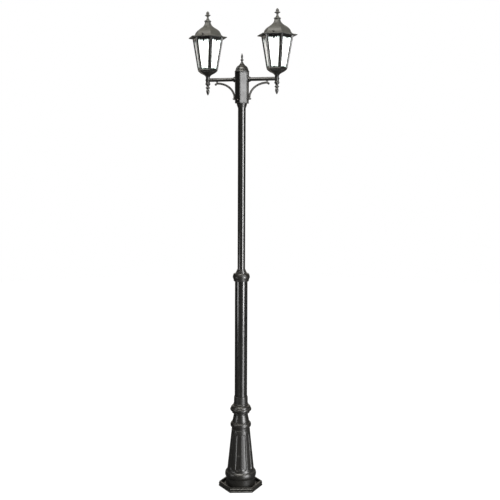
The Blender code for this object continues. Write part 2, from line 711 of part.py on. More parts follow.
def make_cage_mesh(name):
    """Six sides in one casting: corner bars of L section, a scalloped crown and a toothed bottom rail."""
    bar = 0.0120
    low, high = RIM_Z + GAP, CROWN_Z
    shape = bmesh.new()
    for side_number in range(HEX):
        loops = {}
        for inset in (0.0, CAGE_WALL):
            near, far = [(cage_radius(z) * COS_30 - inset) * TAN_30 for z in (low, high)]
            corners = [(-near, low), (near, low), (far, high), (-far, high)]
            window = []
            for share, z in window_outline():
                half = cage_radius(z) / 2 - bar
                window.append((share * half, z))
            loops[inset] = [
                [shape.verts.new(cage_point(side_number, x, z, inset)) for x, z in corners],
                [shape.verts.new(cage_point(side_number, x, z, inset)) for x, z in window],
            ]
            flat = [[Vector((x, z, 0)) for x, z in corners], [Vector((x, z, 0)) for x, z in window]]
            joined = loops[inset][0] + loops[inset][1]
            for triple in tessellate_polygon(flat):
                shape.faces.new([joined[i] for i in triple])
        outer, inner = loops[0.0], loops[CAGE_WALL]
        for k in (0, 2):
            shape.faces.new((outer[0][k], outer[0][k + 1], inner[0][k + 1], inner[0][k]))
        count = len(outer[1])
        for k in range(count):
            following = (k + 1) % count
            shape.faces.new((outer[1][k], outer[1][following], inner[1][following], inner[1][k]))
    return to_mesh(shape, name)


def make_cage(side, place, head):
    name = f"lantern_frame_{side}"
    cage = add_object(name, make_cage_mesh(name), BLACK, parent=head, place=(*place, 0), smooth=False)
    x = place[0]
    near_y, far_y = HINGE_Y - 0.0045, HINGE_Y + 0.0045
    tabs = {
        "web": ((-0.0105, 0.0800, HINGE_Z - 0.0145), (0.0105, 0.1165, HINGE_Z - 0.0085)),
        "root": ((-0.0100, 0.0786, HINGE_Z - 0.0140), (0.0100, 0.0840, CROWN_Z - 0.0009)),
        "ear_a": ((-0.0105, near_y, HINGE_Z - 0.0100), (-0.0065, far_y, HINGE_Z + 0.0045)),
        "ear_b": ((0.0065, near_y, HINGE_Z - 0.0100), (0.0105, far_y, HINGE_Z + 0.0045)),
        "lug": ((-0.0065, -0.0965, CROWN_Z - 0.0070), (0.0065, -0.0785, CROWN_Z - 0.0009)),
    }
    for label, (low, high) in tabs.items():
        tab = box_mesh(f"{name}_{label}", low, high)
        shape_by(cage, helper(f"{name}_{label}", tab, place=(x, 0, 0)), "UNION")
    shape_by(cage, hinge_bore(side, x))
    shape_by(cage, lock_hole(side, x))
    pin = [
        (0, -0.0118), (0.0019, -0.0118), (0.0019, 0.0109), (0.0034, 0.0109), (0.0034, 0.0130), (0, 0.0130),
    ]
    turned(
        f"hinge_pin_{side}", pin, 10, ZINC, parent=head, place=(x, HINGE_Y, HINGE_Z), direction=(1, 0, 0),
    )


def hinge_bore(side, x):
    name = f"hinge_bore_{side}"
    if name in bpy.data.objects:
        return bpy.data.objects[name]
    return rods(name, [((x - 0.02, HINGE_Y, HINGE_Z), (x + 0.02, HINGE_Y, HINGE_Z), 0.0022)], sides=10)


def lock_hole(side, x):
    """The thumb screw's hole, through the roof's flange and the frame's lug."""
    name = f"lock_hole_{side}"
    if name in bpy.data.objects:
        return bpy.data.objects[name]
    return rods(name, [((x, LOCK_Y, CROWN_Z - 0.010), (x, LOCK_Y, CROWN_Z + 0.009), 0.0029)])


def make_diffuser(side, place, head):
    """One-piece opal liner behind the cage's windows."""
    low, high = RIM_Z + GAP, CROWN_Z - 0.0007
    inset, wall = (CAGE_WALL + 0.0004) / COS_30, 0.003 / COS_30
    outline = []
    for z, depth in ((low, inset), (high, inset), (high, inset + wall), (low, inset + wall)):
        outline.append((cage_radius(z) - depth, z))
    turned(f"diffuser_{side}", outline, HEX, OPAL, parent=head, place=(*place, 0), smooth=False)


def make_roof(side, place, roof_pivot):
    x = place[0]
    outline = [
        (0.0050, 0.0930), (0.0182, 0.0930), (0.0186, 0.0870), (0.0240, 0.0745), (0.0375, 0.0615),
        (0.0545, 0.0510), (0.0676, 0.0419), (0.0770, 0.0310), (0.0818, 0.0195), (0.0876, 0.0115),
        (0.1000, 0.0060), (0.1140, 0.0044), (EAVE_RADIUS, 0.0030), (EAVE_RADIUS - 0.0010, -0.0005),
        (0.1150, -0.0005), (0.1000, GAP), (0.0800, GAP), (0.0775, 0.0110), (0.0725, 0.0270),
        (0.0635, 0.0365), (0.0510, 0.0460), (0.0345, 0.0555), (0.0200, 0.0690), (0.0150, 0.0850),
        (0.0050, 0.0865),
    ]
    roof = turned(
        f"roof_{side}", outline, HEX, BLACK, parent=roof_pivot, place=(*place, CROWN_Z), smooth=False,
    )
    low, high = (-0.006, 0.1020, HINGE_Z - 0.0045), (0.006, 0.1165, HINGE_Z + 0.0045)
    lug = box_mesh(f"roof_lug_{side}", low, high)
    shape_by(roof, helper(f"roof_lug_{side}", lug, place=(x, 0, 0)), "UNION")
    shape_by(roof, hinge_bore(side, x))
    shape_by(roof, vent_slots(side, place))
    shape_by(roof, lock_hole(side, x))


def vent_slots(side, place):
    shape = bmesh.new()
    for i in range(HEX):
        angle = math.radians(30 + 60 * i)
        spot = Matrix.Translation((*place, CROWN_Z + 0.0600)) @ Matrix.Rotation(angle, 4, "Z")
        spot = spot @ Matrix.Translation((0.030, 0, 0)) @ Matrix.Diagonal((0.020, 0.013, 0.0032, 1.0))
        bmesh.ops.create_cube(shape, size=1.0, matrix=spot)
    name = f"vent_slots_{side}"
    return helper(name, to_mesh(shape, name))


def make_roof_finial(side, place, roof_pivot):
    """Ring, stem, six-lobed knob and bud in one turned casting."""
    outline = [
        (0, -0.006), (0.0038, -0.006), (0.0038, GAP), (0.0180, GAP), (0.0204, 0.0016), (0.0204, 0.0052),
        (0.0150, 0.0078), (0.0105, 0.0120), (0.0062, 0.0180), (0.0058, 0.0260), (0.0078, 0.0310),
        (0.0174, 0.0350), (0.0174, 0.0390), (0.0080, 0.0435), (0.0090, 0.0490), (0.0058, 0.0555),
        (0, 0.0603),
    ]
    mesh = turned_mesh(f"roof_finial_{side}", outline, 2 * HEX)
    for corner in mesh.vertices:
        column = round(math.atan2(corner.co.y, corner.co.x) / math.radians(30))
        if 0.033 < corner.co.z < 0.042 and column % 2:
            corner.co.x *= 0.70
            corner.co.y *= 0.70
    add_object(f"roof_finial_{side}", mesh, BLACK, parent=roof_pivot, place=(*place, CROWN_Z + 0.0930))


def make_lock_screw(side, place, screw_pivot):
    """Thumb screw that stands on the roof's front flange."""
    outline = [
        (0, -0.0068), (0.0025, -0.0068), (0.0025, 0.0072), (0.0038, 0.0072), (0.0038, 0.0100),
        (0.0054, 0.0112), (0.0054, 0.0165), (0.0042, 0.0188), (0, 0.0192),
    ]
    turned(f"lock_screw_{side}", outline, 12, BLACK, parent=screw_pivot, place=(place[0], LOCK_Y, CROWN_Z))


def make_lamp(side, place, head, bulb_pivot):
    nipple = [
        (0.003, 2.4768), (0.005, 2.4768), (0.005, HOLDER_BASE + 0.0115), (0.003, HOLDER_BASE + 0.0115),
    ]
    turned(f"nipple_{side}", nipple, 12, BRASS, parent=head, place=(*place, 0))
    holder = [
        (0.0054, 0), (0.0180, 0), (0.0205, 0.0080), (0.0205, 0.0450), (0.0190, 0.0520), (0.0146, 0.0520),
        (0.0146, 0.0180), (0.0054, 0.0120),
    ]
    turned(f"lamp_holder_{side}", holder, 14, CERAMIC, parent=head, place=(*place, HOLDER_BASE))
    cap = [
        (0, 0.0195), (0.0045, 0.0195), (0.0095, 0.0235), (0.0132, 0.0255), (0.0132, 0.0500), (0, 0.0500),
    ]
    turned(f"bulb_cap_{side}", cap, 14, ZINC, parent=bulb_pivot, place=(*place, HOLDER_BASE))
    middle, swell = 0.0950, 0.0295
    crown = [math.radians(-40 + 26 * i) for i in range(6)]
    globe = [(swell * math.cos(t), middle + swell * math.sin(t)) for t in crown[:-1]]
    glass = [(0, 0.0503), (0.0128, 0.0503), (0.0142, 0.0580), *globe, (0, middle + swell)]
    turned(f"bulb_glass_{side}", glass, 14, GLASS, parent=bulb_pivot, place=(*place, HOLDER_BASE))


def make_lead(side, sign, head):
    top = HEAD_BASE + 0.0572 + 0.0180
    knots = [
        (sign * 0.018, 0, top), (sign * 0.017, 0, top + 0.030), (sign * 0.022, 0, ARM_Z - 0.018),
        (sign * 0.040, 0, ARM_Z), (sign * 0.100, 0, ARM_Z), (sign * 0.185, 0, ARM_Z),
        (sign * 0.2035, 0, ARM_Z + 0.0022), (sign * 0.2095, 0, ARM_Z + 0.0090),
        (sign * ARM_REACH, 0, 2.4800), (sign * ARM_REACH, 0, 2.5120),
    ]
    cable(f"arm_lead_{side}", knots, 0.0018, parent=head, steps=2)


def make_lantern(side, sign, head):
    place = (sign * ARM_REACH, 0)
    roof_pivot = pivot(f"roof_hinge_{side}", (place[0], HINGE_Y, HINGE_Z))
    attach(roof_pivot, head)
    screw_pivot = pivot(f"lock_screw_turn_{side}", (place[0], LOCK_Y, CROWN_Z))
    attach(screw_pivot, roof_pivot)
    bulb_pivot = pivot(f"bulb_turn_{side}", (place[0], 0, HOLDER_BASE))
    attach(bulb_pivot, head)
    make_tray(side, place, head)
    make_cage(side, place, head)
    make_diffuser(side, place, head)
    make_roof(side, place, roof_pivot)
    make_roof_finial(side, place, roof_pivot)
    make_lock_screw(side, place, screw_pivot)
    make_lamp(side, place, head, bulb_pivot)


def main():
    clear_scene()
    door_pivot = pivot("door_lift", polar(0.066, DOOR_ANGLE, DOOR_SCREW_Z))
    door_screw_pivot = pivot("door_screw_turn", polar(0.066, DOOR_ANGLE, DOOR_SCREW_Z))
    attach(door_screw_pivot, door_pivot)
    make_plinth()
    make_foot_screws()
    make_pedestal(door_pivot)
    make_door_fittings(door_screw_pivot)
    make_gear_plate()
    make_terminal_block()
    make_post()
    head = pivot("head_swivel", (0, 0, HEAD_BASE))
    make_head_holes()
    make_head_collar(head)
    make_head_box(head)
    make_head_cap(head)
    make_head_screws(head)
    make_connector(head)
    for side, sign in SIDES.items():
        make_arm(side, sign, head)
        make_bracket(side, sign, head)
        make_socket(side, sign, head)
        make_lead(side, sign, head)
        make_lantern(side, sign, head)


main()
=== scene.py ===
from math import cos, hypot, pi, radians, sin, tan, tau

import bmesh
import bpy
from mathutils import Matrix, Vector
from mathutils.geometry import tessellate_polygon


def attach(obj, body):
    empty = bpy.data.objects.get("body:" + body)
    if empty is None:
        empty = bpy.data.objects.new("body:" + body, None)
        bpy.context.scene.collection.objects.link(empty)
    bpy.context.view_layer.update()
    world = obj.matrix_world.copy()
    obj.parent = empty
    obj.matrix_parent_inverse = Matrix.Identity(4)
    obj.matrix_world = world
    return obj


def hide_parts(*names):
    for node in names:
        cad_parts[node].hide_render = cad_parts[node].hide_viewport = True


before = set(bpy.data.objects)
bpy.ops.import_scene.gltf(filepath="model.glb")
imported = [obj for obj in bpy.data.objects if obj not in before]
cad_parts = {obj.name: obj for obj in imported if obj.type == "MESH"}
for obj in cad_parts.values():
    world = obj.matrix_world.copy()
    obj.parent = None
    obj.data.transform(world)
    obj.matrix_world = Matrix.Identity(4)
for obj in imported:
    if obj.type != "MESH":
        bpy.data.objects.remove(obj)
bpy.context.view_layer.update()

# Metres, +Z up, on the frame's axes: the post stands on the Z axis and the arms lie along X.
HEX_COS = cos(radians(30))
SIDES = {"left": -1, "right": 1}
DOOR_ANGLE = radians(-102)
PLINTH_TURN = radians(18)
SET_SCREW_ANGLE = radians(-120)
FLUTES = 12
PLINTH_RIM = 0.1352  # over the corners
CONE_BASE, CONE_TOP = 0.1125, 0.349  # the fluted part of the pedestal
CONE_BASE_RADIUS, CONE_TOP_RADIUS = 0.0815, 0.0572
DOOR_SCREW_Z = 0.23
NECK_SCREW_Z = 0.545
LOWER_TUBE_RADIUS, UPPER_TUBE_RADIUS = 0.038, 0.0228
TUBE_WALL = 0.0025
HEAD_BASE = 2.303
BOX_BASE, BOX_TOP = 2.3264, 2.506
ARM_Z = 2.465
ARM_REACH = 0.21  # from the post's axis to each lantern's
SOCKET_BASE = 2.4375
SET_SCREW_Z = 2.3466
CAP_SCREW_Z = 2.489
RIM_Z, CROWN_Z = 2.5225, 2.7075  # bottom and top of the lanterns' frames
CAGE_WALL = 0.0024
HINGE_Y, HINGE_Z = 0.112, 2.703
LOCK_Y = -0.0905
HOLDER_BASE = 2.502


def in_scene(name, data):
    made = bpy.data.objects.new(name, data)
    bpy.context.scene.collection.objects.link(made)
    return made


# Camera and stage

def make_camera():
    """Looks at the post from its front right, two metres up, and a little down."""
    azimuth, pitch, roll = radians(15.76), radians(6.469), radians(0.268)
    distance, aside, height = 4.8, 0.0516, 2.0073
    data = bpy.data.cameras.new("camera")
    data.lens = 58.19
    data.sensor_width = 36.0
    data.clip_end = 200.0
    camera = in_scene("camera", data)
    back = Vector((sin(azimuth), -cos(azimuth), 0))
    right = Vector((cos(azimuth), sin(azimuth), 0))
    place = back * distance + right * aside + Vector((0, 0, height))
    facing = Matrix.Rotation(azimuth, 4, "Z") @ Matrix.Rotation(pi / 2 - pitch, 4, "X")
    camera.matrix_world = Matrix.Translation(place) @ facing @ Matrix.Rotation(roll, 4, "Z")
    bpy.context.scene.camera = camera


def area_light(name, size, power, place, turn):
    data = bpy.data.lights.new(name, "AREA")
    data.shape = "RECTANGLE"
    data.size, data.size_y = size
    data.energy = power
    light = in_scene(name, data)
    light.location = place
    light.rotation_euler = turn
    return light


def softbox(name, azimuth, elevation, distance, size, power, target=(0, 0, 1.6), colour=(1, 1, 1)):
    a, e = radians(azimuth), radians(elevation)
    out = Vector((cos(a) * cos(e), sin(a) * cos(e), sin(e)))
    turn = out.to_track_quat("Z", "Y").to_euler()
    area_light(name, size, power, Vector(target) + out * distance, turn).data.color = colour


def floor_glow(name, azimuth, distance, size, power):
    """A strip of lit floor, long side away from the post, that the low upright walls mirror."""
    a = radians(azimuth)
    place = (distance * cos(a), distance * sin(a), 0.001)
    area_light(name, size, power, place, (pi, 0, a)).visible_camera = False


def make_world():
    """White behind the object; the light it throws is dimmer, and brighter from above."""
    world = bpy.data.worlds.new("studio")
    world.use_nodes = True
    bpy.context.scene.world = world
    tree = world.node_tree
    tree.nodes.clear()
    seen = add(tree, "ShaderNodeBackground")
    put(seen, "Color", (1, 1, 1, 1))
    put(seen, "Strength", 1.0)
    thrown = add(tree, "ShaderNodeBackground")
    put(thrown, "Strength", 0.1)
    height = add(tree, "ShaderNodeSeparateXYZ")
    lift = add(tree, "ShaderNodeMath", operation="MULTIPLY_ADD")
    put(lift, 1, 0.5)
    put(lift, 2, 0.5)
    ramp = add(tree, "ShaderNodeValToRGB")
    low, high = ramp.color_ramp.elements
    low.position, low.color = 0.3, (0.22, 0.22, 0.22, 1)
    high.position, high.color = 0.95, (1, 1, 1, 1)
    mix = add(tree, "ShaderNodeMixShader")
    feed(add(tree, "ShaderNodeTexCoord").outputs["Generated"], height.inputs[0])
    feed(height.outputs["Z"], lift.inputs[0])
    feed(lift.outputs[0], ramp.inputs[0])
    feed(ramp.outputs[0], thrown.inputs["Color"])
    feed(add(tree, "ShaderNodeLightPath").outputs["Is Camera Ray"], mix.inputs[0])
    feed(thrown.outputs[0], mix.inputs[1])
    feed(seen.outputs[0], mix.inputs[2])
    feed(mix.outputs[0], add(tree, "ShaderNodeOutputWorld").inputs[0])


def make_floor():
    """White to the camera and dark to everything else, so that it doesn't grey the black paint. Its glow
    dims a little towards the post: a painted contact shadow.
    """
    shape = bmesh.new()
    bmesh.ops.create_circle(shape, cap_ends=True, segments=96, radius=9.0)
    mesh = bpy.data.meshes.new("floor")
    shape.to_mesh(mesh)
    shape.free()
    floor = in_scene("floor", mesh)
    floor.location.z = -0.0005
    material, tree, shader, place = surface("pale_floor")
    put(shader, "Base Color", (0.09, 0.09, 0.09, 1))
    put(shader, "Roughness", 0.9)
    put(shader, "Specular IOR Level", 0.0)
    put(shader, "Emission Color", (1, 1, 1, 1))
    away = add(tree, "ShaderNodeVectorMath", operation="LENGTH")
    feed(place, away.inputs[0])
    # Painted contact shadow: the floor's glow falls from 1.0 to 0.95 close to the post.
    glow_with_painted_shadow = spread(tree, away.outputs["Value"], 0.95, 1.0, 0.15, 0.9)
    seen = add(tree, "ShaderNodeLightPath").outputs["Is Camera Ray"]
    feed(times(tree, seen, glow_with_painted_shadow), shader.inputs["Emission Strength"])
    mesh.materials.append(material)


def make_stage():
    make_camera()
    make_world()
    make_floor()
    bpy.context.scene.view_settings.view_transform = "Standard"
    softbox("key", -28, 0, 5.0, (1.5, 3.4), 480, target=(0, 0, 1.3))
    softbox("face_light", -46.5, 2, 4.4, (0.9, 0.9), 37, target=(0, 0, 2.62))
    softbox("top", -88, 56, 4.6, (3.8, 1.8), 380, colour=(1.0, 0.97, 0.9))
    softbox("backdrop", 110, 12, 5.0, (6.4, 4.5), 48, target=(0, 0, 1.4), colour=(1.0, 0.92, 0.8))
    softbox("left_low", -135, 0, 3.0, (1.2, 0.6), 19, target=(0, 0, 0.74))
    floor_glow("bounce", -34, 1.1, (1.5, 0.3), 12)
    floor_glow("far_bounce", -32, 3.1, (2.5, 0.8), 70)


# Materials

def add(tree, kind, **values):
    node = tree.nodes.new(kind)
    for key, value in values.items():
        setattr(node, key, value)
    return node


def put(node, socket, value):
    node.inputs[socket].default_value = value


def feed(value, socket):
    """Wires a node's output to another's input."""
    socket.id_data.links.new(value, socket)


def surface(name):
    """A new material with its node tree, its shader and the place on the object, in metres."""
    material = bpy.data.materials.new(name)
    material.use_nodes = True
    tree = material.node_tree
    return material, tree, tree.nodes["Principled BSDF"], add(tree, "ShaderNodeTexCoord").outputs["Object"]


def noise(tree, vector, scale, detail=3.0, roughness=0.55):
    node = add(tree, "ShaderNodeTexNoise")
    put(node, "Scale", scale)
    put(node, "Detail", detail)
    put(node, "Roughness", roughness)
    feed(vector, node.inputs["Vector"])
    return node.outputs["Fac"]


def spread(tree, value, low, high, start=0.35, end=0.65):
    node = add(tree, "ShaderNodeMapRange")
    put(node, "From Min", start)
    put(node, "From Max", end)
    put(node, "To Min", low)
    put(node, "To Max", high)
    feed(value, node.inputs["Value"])
    return node.outputs["Result"]


def times(tree, first, second):
    node = add(tree, "ShaderNodeMath", operation="MULTIPLY")
    feed(first, node.inputs[0])
    feed(second, node.inputs[1])
    return node.outputs[0]


def tint(tree, share, first, second):
    """Mixes two colours, or a colour socket and a colour, by share."""
    node = add(tree, "ShaderNodeMix", data_type="RGBA")
    feed(share, node.inputs[0])
    for socket, colour in ((node.inputs[6], first), (node.inputs[7], second)):
        if isinstance(colour, tuple):
            socket.default_value = (*colour, 1)
        else:
            feed(colour, socket)
    return node.outputs[2]


def relief(tree, shader, height, depth):
    bump = add(tree, "ShaderNodeBump")
    put(bump, "Strength", 1.0)
    put(bump, "Distance", depth)
    feed(height, bump.inputs["Height"])
    feed(bump.outputs["Normal"], shader.inputs["Normal"])


def powder_coat(name, colour, roughness, grain, depth):
    """Satin black paint: orange-peel skin, uneven gloss, edges where it is thin, and faces turned upwards
    made lighter, partly by dust on ledges and partly by painted top light.
    """
    material, tree, shader, place = surface(name)
    geometry = add(tree, "ShaderNodeNewGeometry")
    mottle = noise(tree, place, 14.0, 4.0)
    peel = noise(tree, place, grain, 2.0, 0.45)
    r, g, b = colour
    body = tint(tree, spread(tree, mottle, 0.0, 1.0), (r * 0.86, g * 0.86, b * 0.88),
                (r * 1.14, g * 1.13, b * 1.1))
    worn = times(tree, spread(tree, geometry.outputs["Pointiness"], 0.0, 0.75, 0.53, 0.62),
                 spread(tree, noise(tree, place, 95.0, 3.0), 0.15, 1.0))
    body = tint(tree, worn, body, (0.07, 0.069, 0.066))
    # Faces turned upwards are lightened: partly dust on the ledges, partly painted light from above.
    split = add(tree, "ShaderNodeSeparateXYZ")
    feed(geometry.outputs["Normal"], split.inputs[0])
    dust_and_top_light = times(tree, spread(tree, split.outputs["Z"], 0.0, 0.6, 0.55, 1.0),
                 spread(tree, noise(tree, place, 38.0, 4.0), 0.1, 1.0))
    body = tint(tree, dust_and_top_light, body, (0.1, 0.096, 0.088))
    feed(body, shader.inputs["Base Color"])
    gloss = spread(tree, noise(tree, place, 26.0, 3.0), roughness - 0.02, roughness + 0.03)
    feed(gloss, shader.inputs["Roughness"])
    put(shader, "Specular IOR Level", 0.5)
    relief(tree, shader, peel, depth)
    return material


def plated(name, colour, roughness=0.32):
    material, tree, shader, place = surface(name)
    r, g, b = colour
    cloud = noise(tree, place, 160.0, 4.0)
    body = tint(tree, spread(tree, cloud, 0.0, 1.0), (r * 0.78, g * 0.76, b * 0.74), colour)
    feed(body, shader.inputs["Base Color"])
    gloss = spread(tree, noise(tree, place, 420.0), roughness - 0.07, roughness + 0.1)
    feed(gloss, shader.inputs["Roughness"])
    put(shader, "Metallic", 1.0)
    relief(tree, shader, noise(tree, place, 1600.0, 2.0), 0.00001)
    return material


def opal(name):
    """Opal sheet: milky white, darker and a little green towards its top and bottom, with faint drawn
    streaks. It glows with painted light, since nothing in the lantern shines.
    """
    material, tree, shader, place = surface(name)
    mapping = add(tree, "ShaderNodeMapping")
    put(mapping, "Scale", (95.0, 95.0, 3.0))
    feed(place, mapping.inputs["Vector"])
    streaks = noise(tree, mapping.outputs[0], 1.0, 3.0)
    split = add(tree, "ShaderNodeSeparateXYZ")
    feed(place, split.inputs[0])
    ramp = add(tree, "ShaderNodeValToRGB")
    stops = ramp.color_ramp.elements
    stops[0].position, stops[0].color = 0.0, (0.62, 0.8, 0.75, 1)
    stops[1].position, stops[1].color = 1.0, (0.66, 0.86, 0.8, 1)
    for position, colour in ((0.13, (0.9, 0.965, 0.95, 1)), (0.4, (0.97, 0.99, 0.99, 1)),
                             (0.72, (0.97, 0.99, 0.99, 1)), (0.9, (0.86, 0.955, 0.93, 1))):
        stop = stops.new(position)
        stop.color = colour
    feed(spread(tree, split.outputs["Z"], 0.0, 1.0, 2.5228, 2.7068), ramp.inputs[0])
    body = tint(tree, spread(tree, streaks, 0.0, 0.1), ramp.outputs[0], (0.74, 0.83, 0.8))
    feed(body, shader.inputs["Base Color"])
    # Painted glow: the sheet's colour is also its emission, though no lamp in the lantern is lit.
    feed(body, shader.inputs["Emission Color"])
    put(shader, "Emission Strength", 0.22)
    put(shader, "Roughness", 0.16)
    put(shader, "Coat Weight", 0.3)
    put(shader, "Coat Roughness", 0.05)
    relief(tree, shader, streaks, 0.00006)
    return material


def plain(name, colour, roughness, grain=220.0, depth=0.00003, shift=0.08):
    """Ceramic, moulded plastic and rubber: faint clouding and a fine skin."""
    material, tree, shader, place = surface(name)
    dark = tuple(c * (1 - shift) for c in colour)
    light = tuple(min(1.0, c * (1 + shift)) for c in colour)
    body = tint(tree, spread(tree, noise(tree, place, 60.0, 4.0), 0.0, 1.0), dark, light)
    feed(body, shader.inputs["Base Color"])
    gloss = spread(tree, noise(tree, place, 90.0), roughness - 0.05, roughness + 0.08)
    feed(gloss, shader.inputs["Roughness"])
    relief(tree, shader, noise(tree, place, grain, 2.0), depth)
    return material


def frosted(name):
    material = plain(name, (0.93, 0.92, 0.88), 0.3)
    shader = material.node_tree.nodes["Principled BSDF"]
    put(shader, "Subsurface Weight", 0.2)
    put(shader, "Subsurface Radius", (0.01, 0.01, 0.01))
    return material


LOOKS = {
    "cast": powder_coat("cast_powder_coat", (0.007, 0.0067, 0.006), 0.34, 520.0, 0.000012),
    "tube": powder_coat("tube_powder_coat", (0.006, 0.0059, 0.0056), 0.21, 760.0, 0.000004),
    "roof": powder_coat("roof_powder_coat", (0.029, 0.029, 0.0256), 0.58, 620.0, 0.000022),
    "zinc": plated("zinc_plate", (0.6, 0.59, 0.56)),
    "screw": plated("screw_head", (0.46, 0.4, 0.38), 0.42),
    "brass": plated("brass", (0.72, 0.53, 0.26)),
    "opal": opal("opal_sheet_painted_glow"),
    "ceramic": plain("glazed_ceramic", (0.84, 0.83, 0.79), 0.2, 60.0, 0.00001, 0.03),
    "plastic": plain("moulded_plastic", (0.03, 0.03, 0.032), 0.48),
    "sheath": plain("cable_sheath", (0.016, 0.016, 0.017), 0.52),
    "bulb": frosted("frosted_bulb"),
}


# Mesh tools

def finish_piece(name, mesh, look, body, node, smooth=True, bevel=0.0, added=False):
    """Makes the mesh a visible piece that replaces a CAD node or, if added, a detail on that piece."""
    mesh.name = name
    mesh.materials.clear()
    mesh.materials.append(LOOKS[look])
    if smooth:
        mesh.shade_smooth()
        mesh.set_sharp_from_angle(angle=radians(42))
    piece = in_scene(name, mesh)
    if bevel:
        edge = piece.modifiers.new("edge", "BEVEL")
        edge.width = bevel
        edge.segments = 2
        edge.limit_method = "ANGLE"
        edge.angle_limit = radians(38)
        edge.harden_normals = False
    weigh = piece.modifiers.new("normals", "WEIGHTED_NORMAL")
    weigh.keep_sharp = True
    weigh.weight = 80
    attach(piece, body)
    if not added:
        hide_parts(node)


def to_mesh(shape):
    bmesh.ops.remove_doubles(shape, verts=shape.verts, dist=1e-6)
    bmesh.ops.recalc_face_normals(shape, faces=shape.faces)
    mesh = bpy.data.meshes.new("mesh")
    shape.to_mesh(mesh)
    shape.free()
    return mesh


def filleted(outline, closed, default=0.0006, steps=3):
    """Rounds the outline's corners. A point is (radius, height) or (radius, height, fillet)."""
    count = len(outline)
    result = []
    for i, point in enumerate(outline):
        here = Vector(point[:2])
        size = point[2] if len(point) > 2 else default
        if size <= 0 or (not closed and i in (0, count - 1)):
            result.append(tuple(here))
            continue
        before = Vector(outline[i - 1][:2]) - here
        after = Vector(outline[(i + 1) % count][:2]) - here
        if before.length < 1e-7 or after.length < 1e-7:
            result.append(tuple(here))
            continue
        bend = before.angle(after)
        if bend > radians(168):
            result.append(tuple(here))
            continue
        reach = min(size / tan(bend / 2), before.length * 0.45, after.length * 0.45)
        start = here + before.normalized() * reach
        end = here + after.normalized() * reach
        for k in range(steps + 1):
            t = k / steps
            result.append(tuple(start * (1 - t) ** 2 + here * 2 * t * (1 - t) + end * t**2))
    return result


def bead(radius, top, bottom, depth, steps=12):
    """A half-round moulding from top down to bottom that stands out from radius by depth."""
    half = (top - bottom) / 2
    turns = [pi * i / steps for i in range(steps + 1)]
    return [(radius + depth * sin(t), bottom + half + half * cos(t), 0) for t in turns]


def curve(start, end, bulge, steps=10):
    """Points from start to end on a curve that swells to the left of that line by bulge."""
    across, up = end[0] - start[0], end[1] - start[1]
    length = hypot(across, up)
    points = []
    for i in range(steps + 1):
        t = i / steps
        swell = 4 * bulge * t * (1 - t) / length
        points.append((start[0] + across * t - up * swell, start[1] + up * t + across * swell, 0))
    return points


def spline(points, steps=6):
    """Catmull-Rom curve through (radius, height) points."""
    knots = [Vector(p[:2]) for p in points]
    padded = [2 * knots[0] - knots[1], *knots, 2 * knots[-1] - knots[-2]]
    result = []
    for a, b, c, d in zip(padded, padded[1:], padded[2:], padded[3:]):
        for i in range(steps):
            t = i / steps
            square, cube = 2 * a - 5 * b + 4 * c - d, 3 * b - a - 3 * c + d
            p = (2 * b + (c - a) * t + square * t**2 + cube * t**3) / 2
            result.append((p.x, p.y, 0))
    result.append((*knots[-1], 0))
    return result


def round_ring(radius, height, steps, turn):
    angles = [turn + tau * i / steps for i in range(steps)]
    return [Vector((radius * cos(a), radius * sin(a), height)) for a in angles]


def hex_ring(radius, height, turn, rounding, arc=4):
    """A hexagon over its corners, each corner rounded."""
    rounding = min(rounding, radius * 0.45)
    middle = radius - rounding / HEX_COS
    ring = []
    for i in range(6):
        corner = turn + radians(60 * i)
        centre = Vector((middle * cos(corner), middle * sin(corner), height))
        for k in range(arc + 1):
            a = corner + radians(-30 + 60 * k / arc)
            ring.append(centre + rounding * Vector((cos(a), sin(a), 0)))
    return ring


def skin(rings, closed):
    """Joins rings of points. A closed skin joins its last ring to its first; an open one is capped."""
    shape = bmesh.new()
    made = [[shape.verts.new(p) for p in ring] for ring in rings]
    pairs = list(zip(made, made[1:]))
    if closed:
        pairs.append((made[-1], made[0]))
    for first, second in pairs:
        count = len(first)
        for k in range(count):
            n = (k + 1) % count
            shape.faces.new((first[k], first[n], second[n], second[k]))
    if not closed:
        for ring in (made[0], made[-1]):
            shape.faces.new(ring)
    return to_mesh(shape)


def place_mesh(mesh, place=(0, 0, 0), direction=None):
    matrix = Matrix.Translation(place)
    if direction is not None:
        matrix = matrix @ Vector(direction).to_track_quat("Z", "Y").to_matrix().to_4x4()
    mesh.transform(matrix)
    return mesh


def turned_mesh(outline, steps=72, turn=0.0, fillet=0.0006, place=(0, 0, 0), direction=None):
    """Lathe work. An outline that starts on the axis is a solid; any other is a closed ring."""
    solid = outline[0][0] <= 1e-6
    points = filleted(outline, closed=not solid, default=fillet)
    if solid:
        points = [p for p in points if p[0] > 1e-5]
    rings = [round_ring(r, z, steps, turn) for r, z in points]
    return place_mesh(skin(rings, closed=not solid), place, direction)


def hex_mesh(outline, turn=0.0, rounding=0.0015, fillet=0.0006, place=(0, 0, 0)):
    points = filleted(outline, closed=True, default=fillet)
    rings = [hex_ring(r, z, turn, rounding) for r, z in points]
    return place_mesh(skin(rings, closed=True), place)


def box_mesh(low, high):
    shape = bmesh.new()
    bmesh.ops.create_cube(shape, size=1.0)
    low, high = Vector(low), Vector(high)
    bmesh.ops.transform(shape, matrix=Matrix.Diagonal((*(high - low), 1.0)), verts=shape.verts)
    bmesh.ops.translate(shape, vec=(low + high) / 2, verts=shape.verts)
    return to_mesh(shape)


def rod_mesh(start, end, radius, sides=24):
    start, end = Vector(start), Vector(end)
    along = end - start
    spot = Matrix.Translation((start + end) / 2) @ along.to_track_quat("Z", "Y").to_matrix().to_4x4()
    shape = bmesh.new()
    bmesh.ops.create_cone(shape, cap_ends=True, segments=sides, radius1=radius, radius2=radius,
                          depth=along.length, matrix=spot)
    return to_mesh(shape)


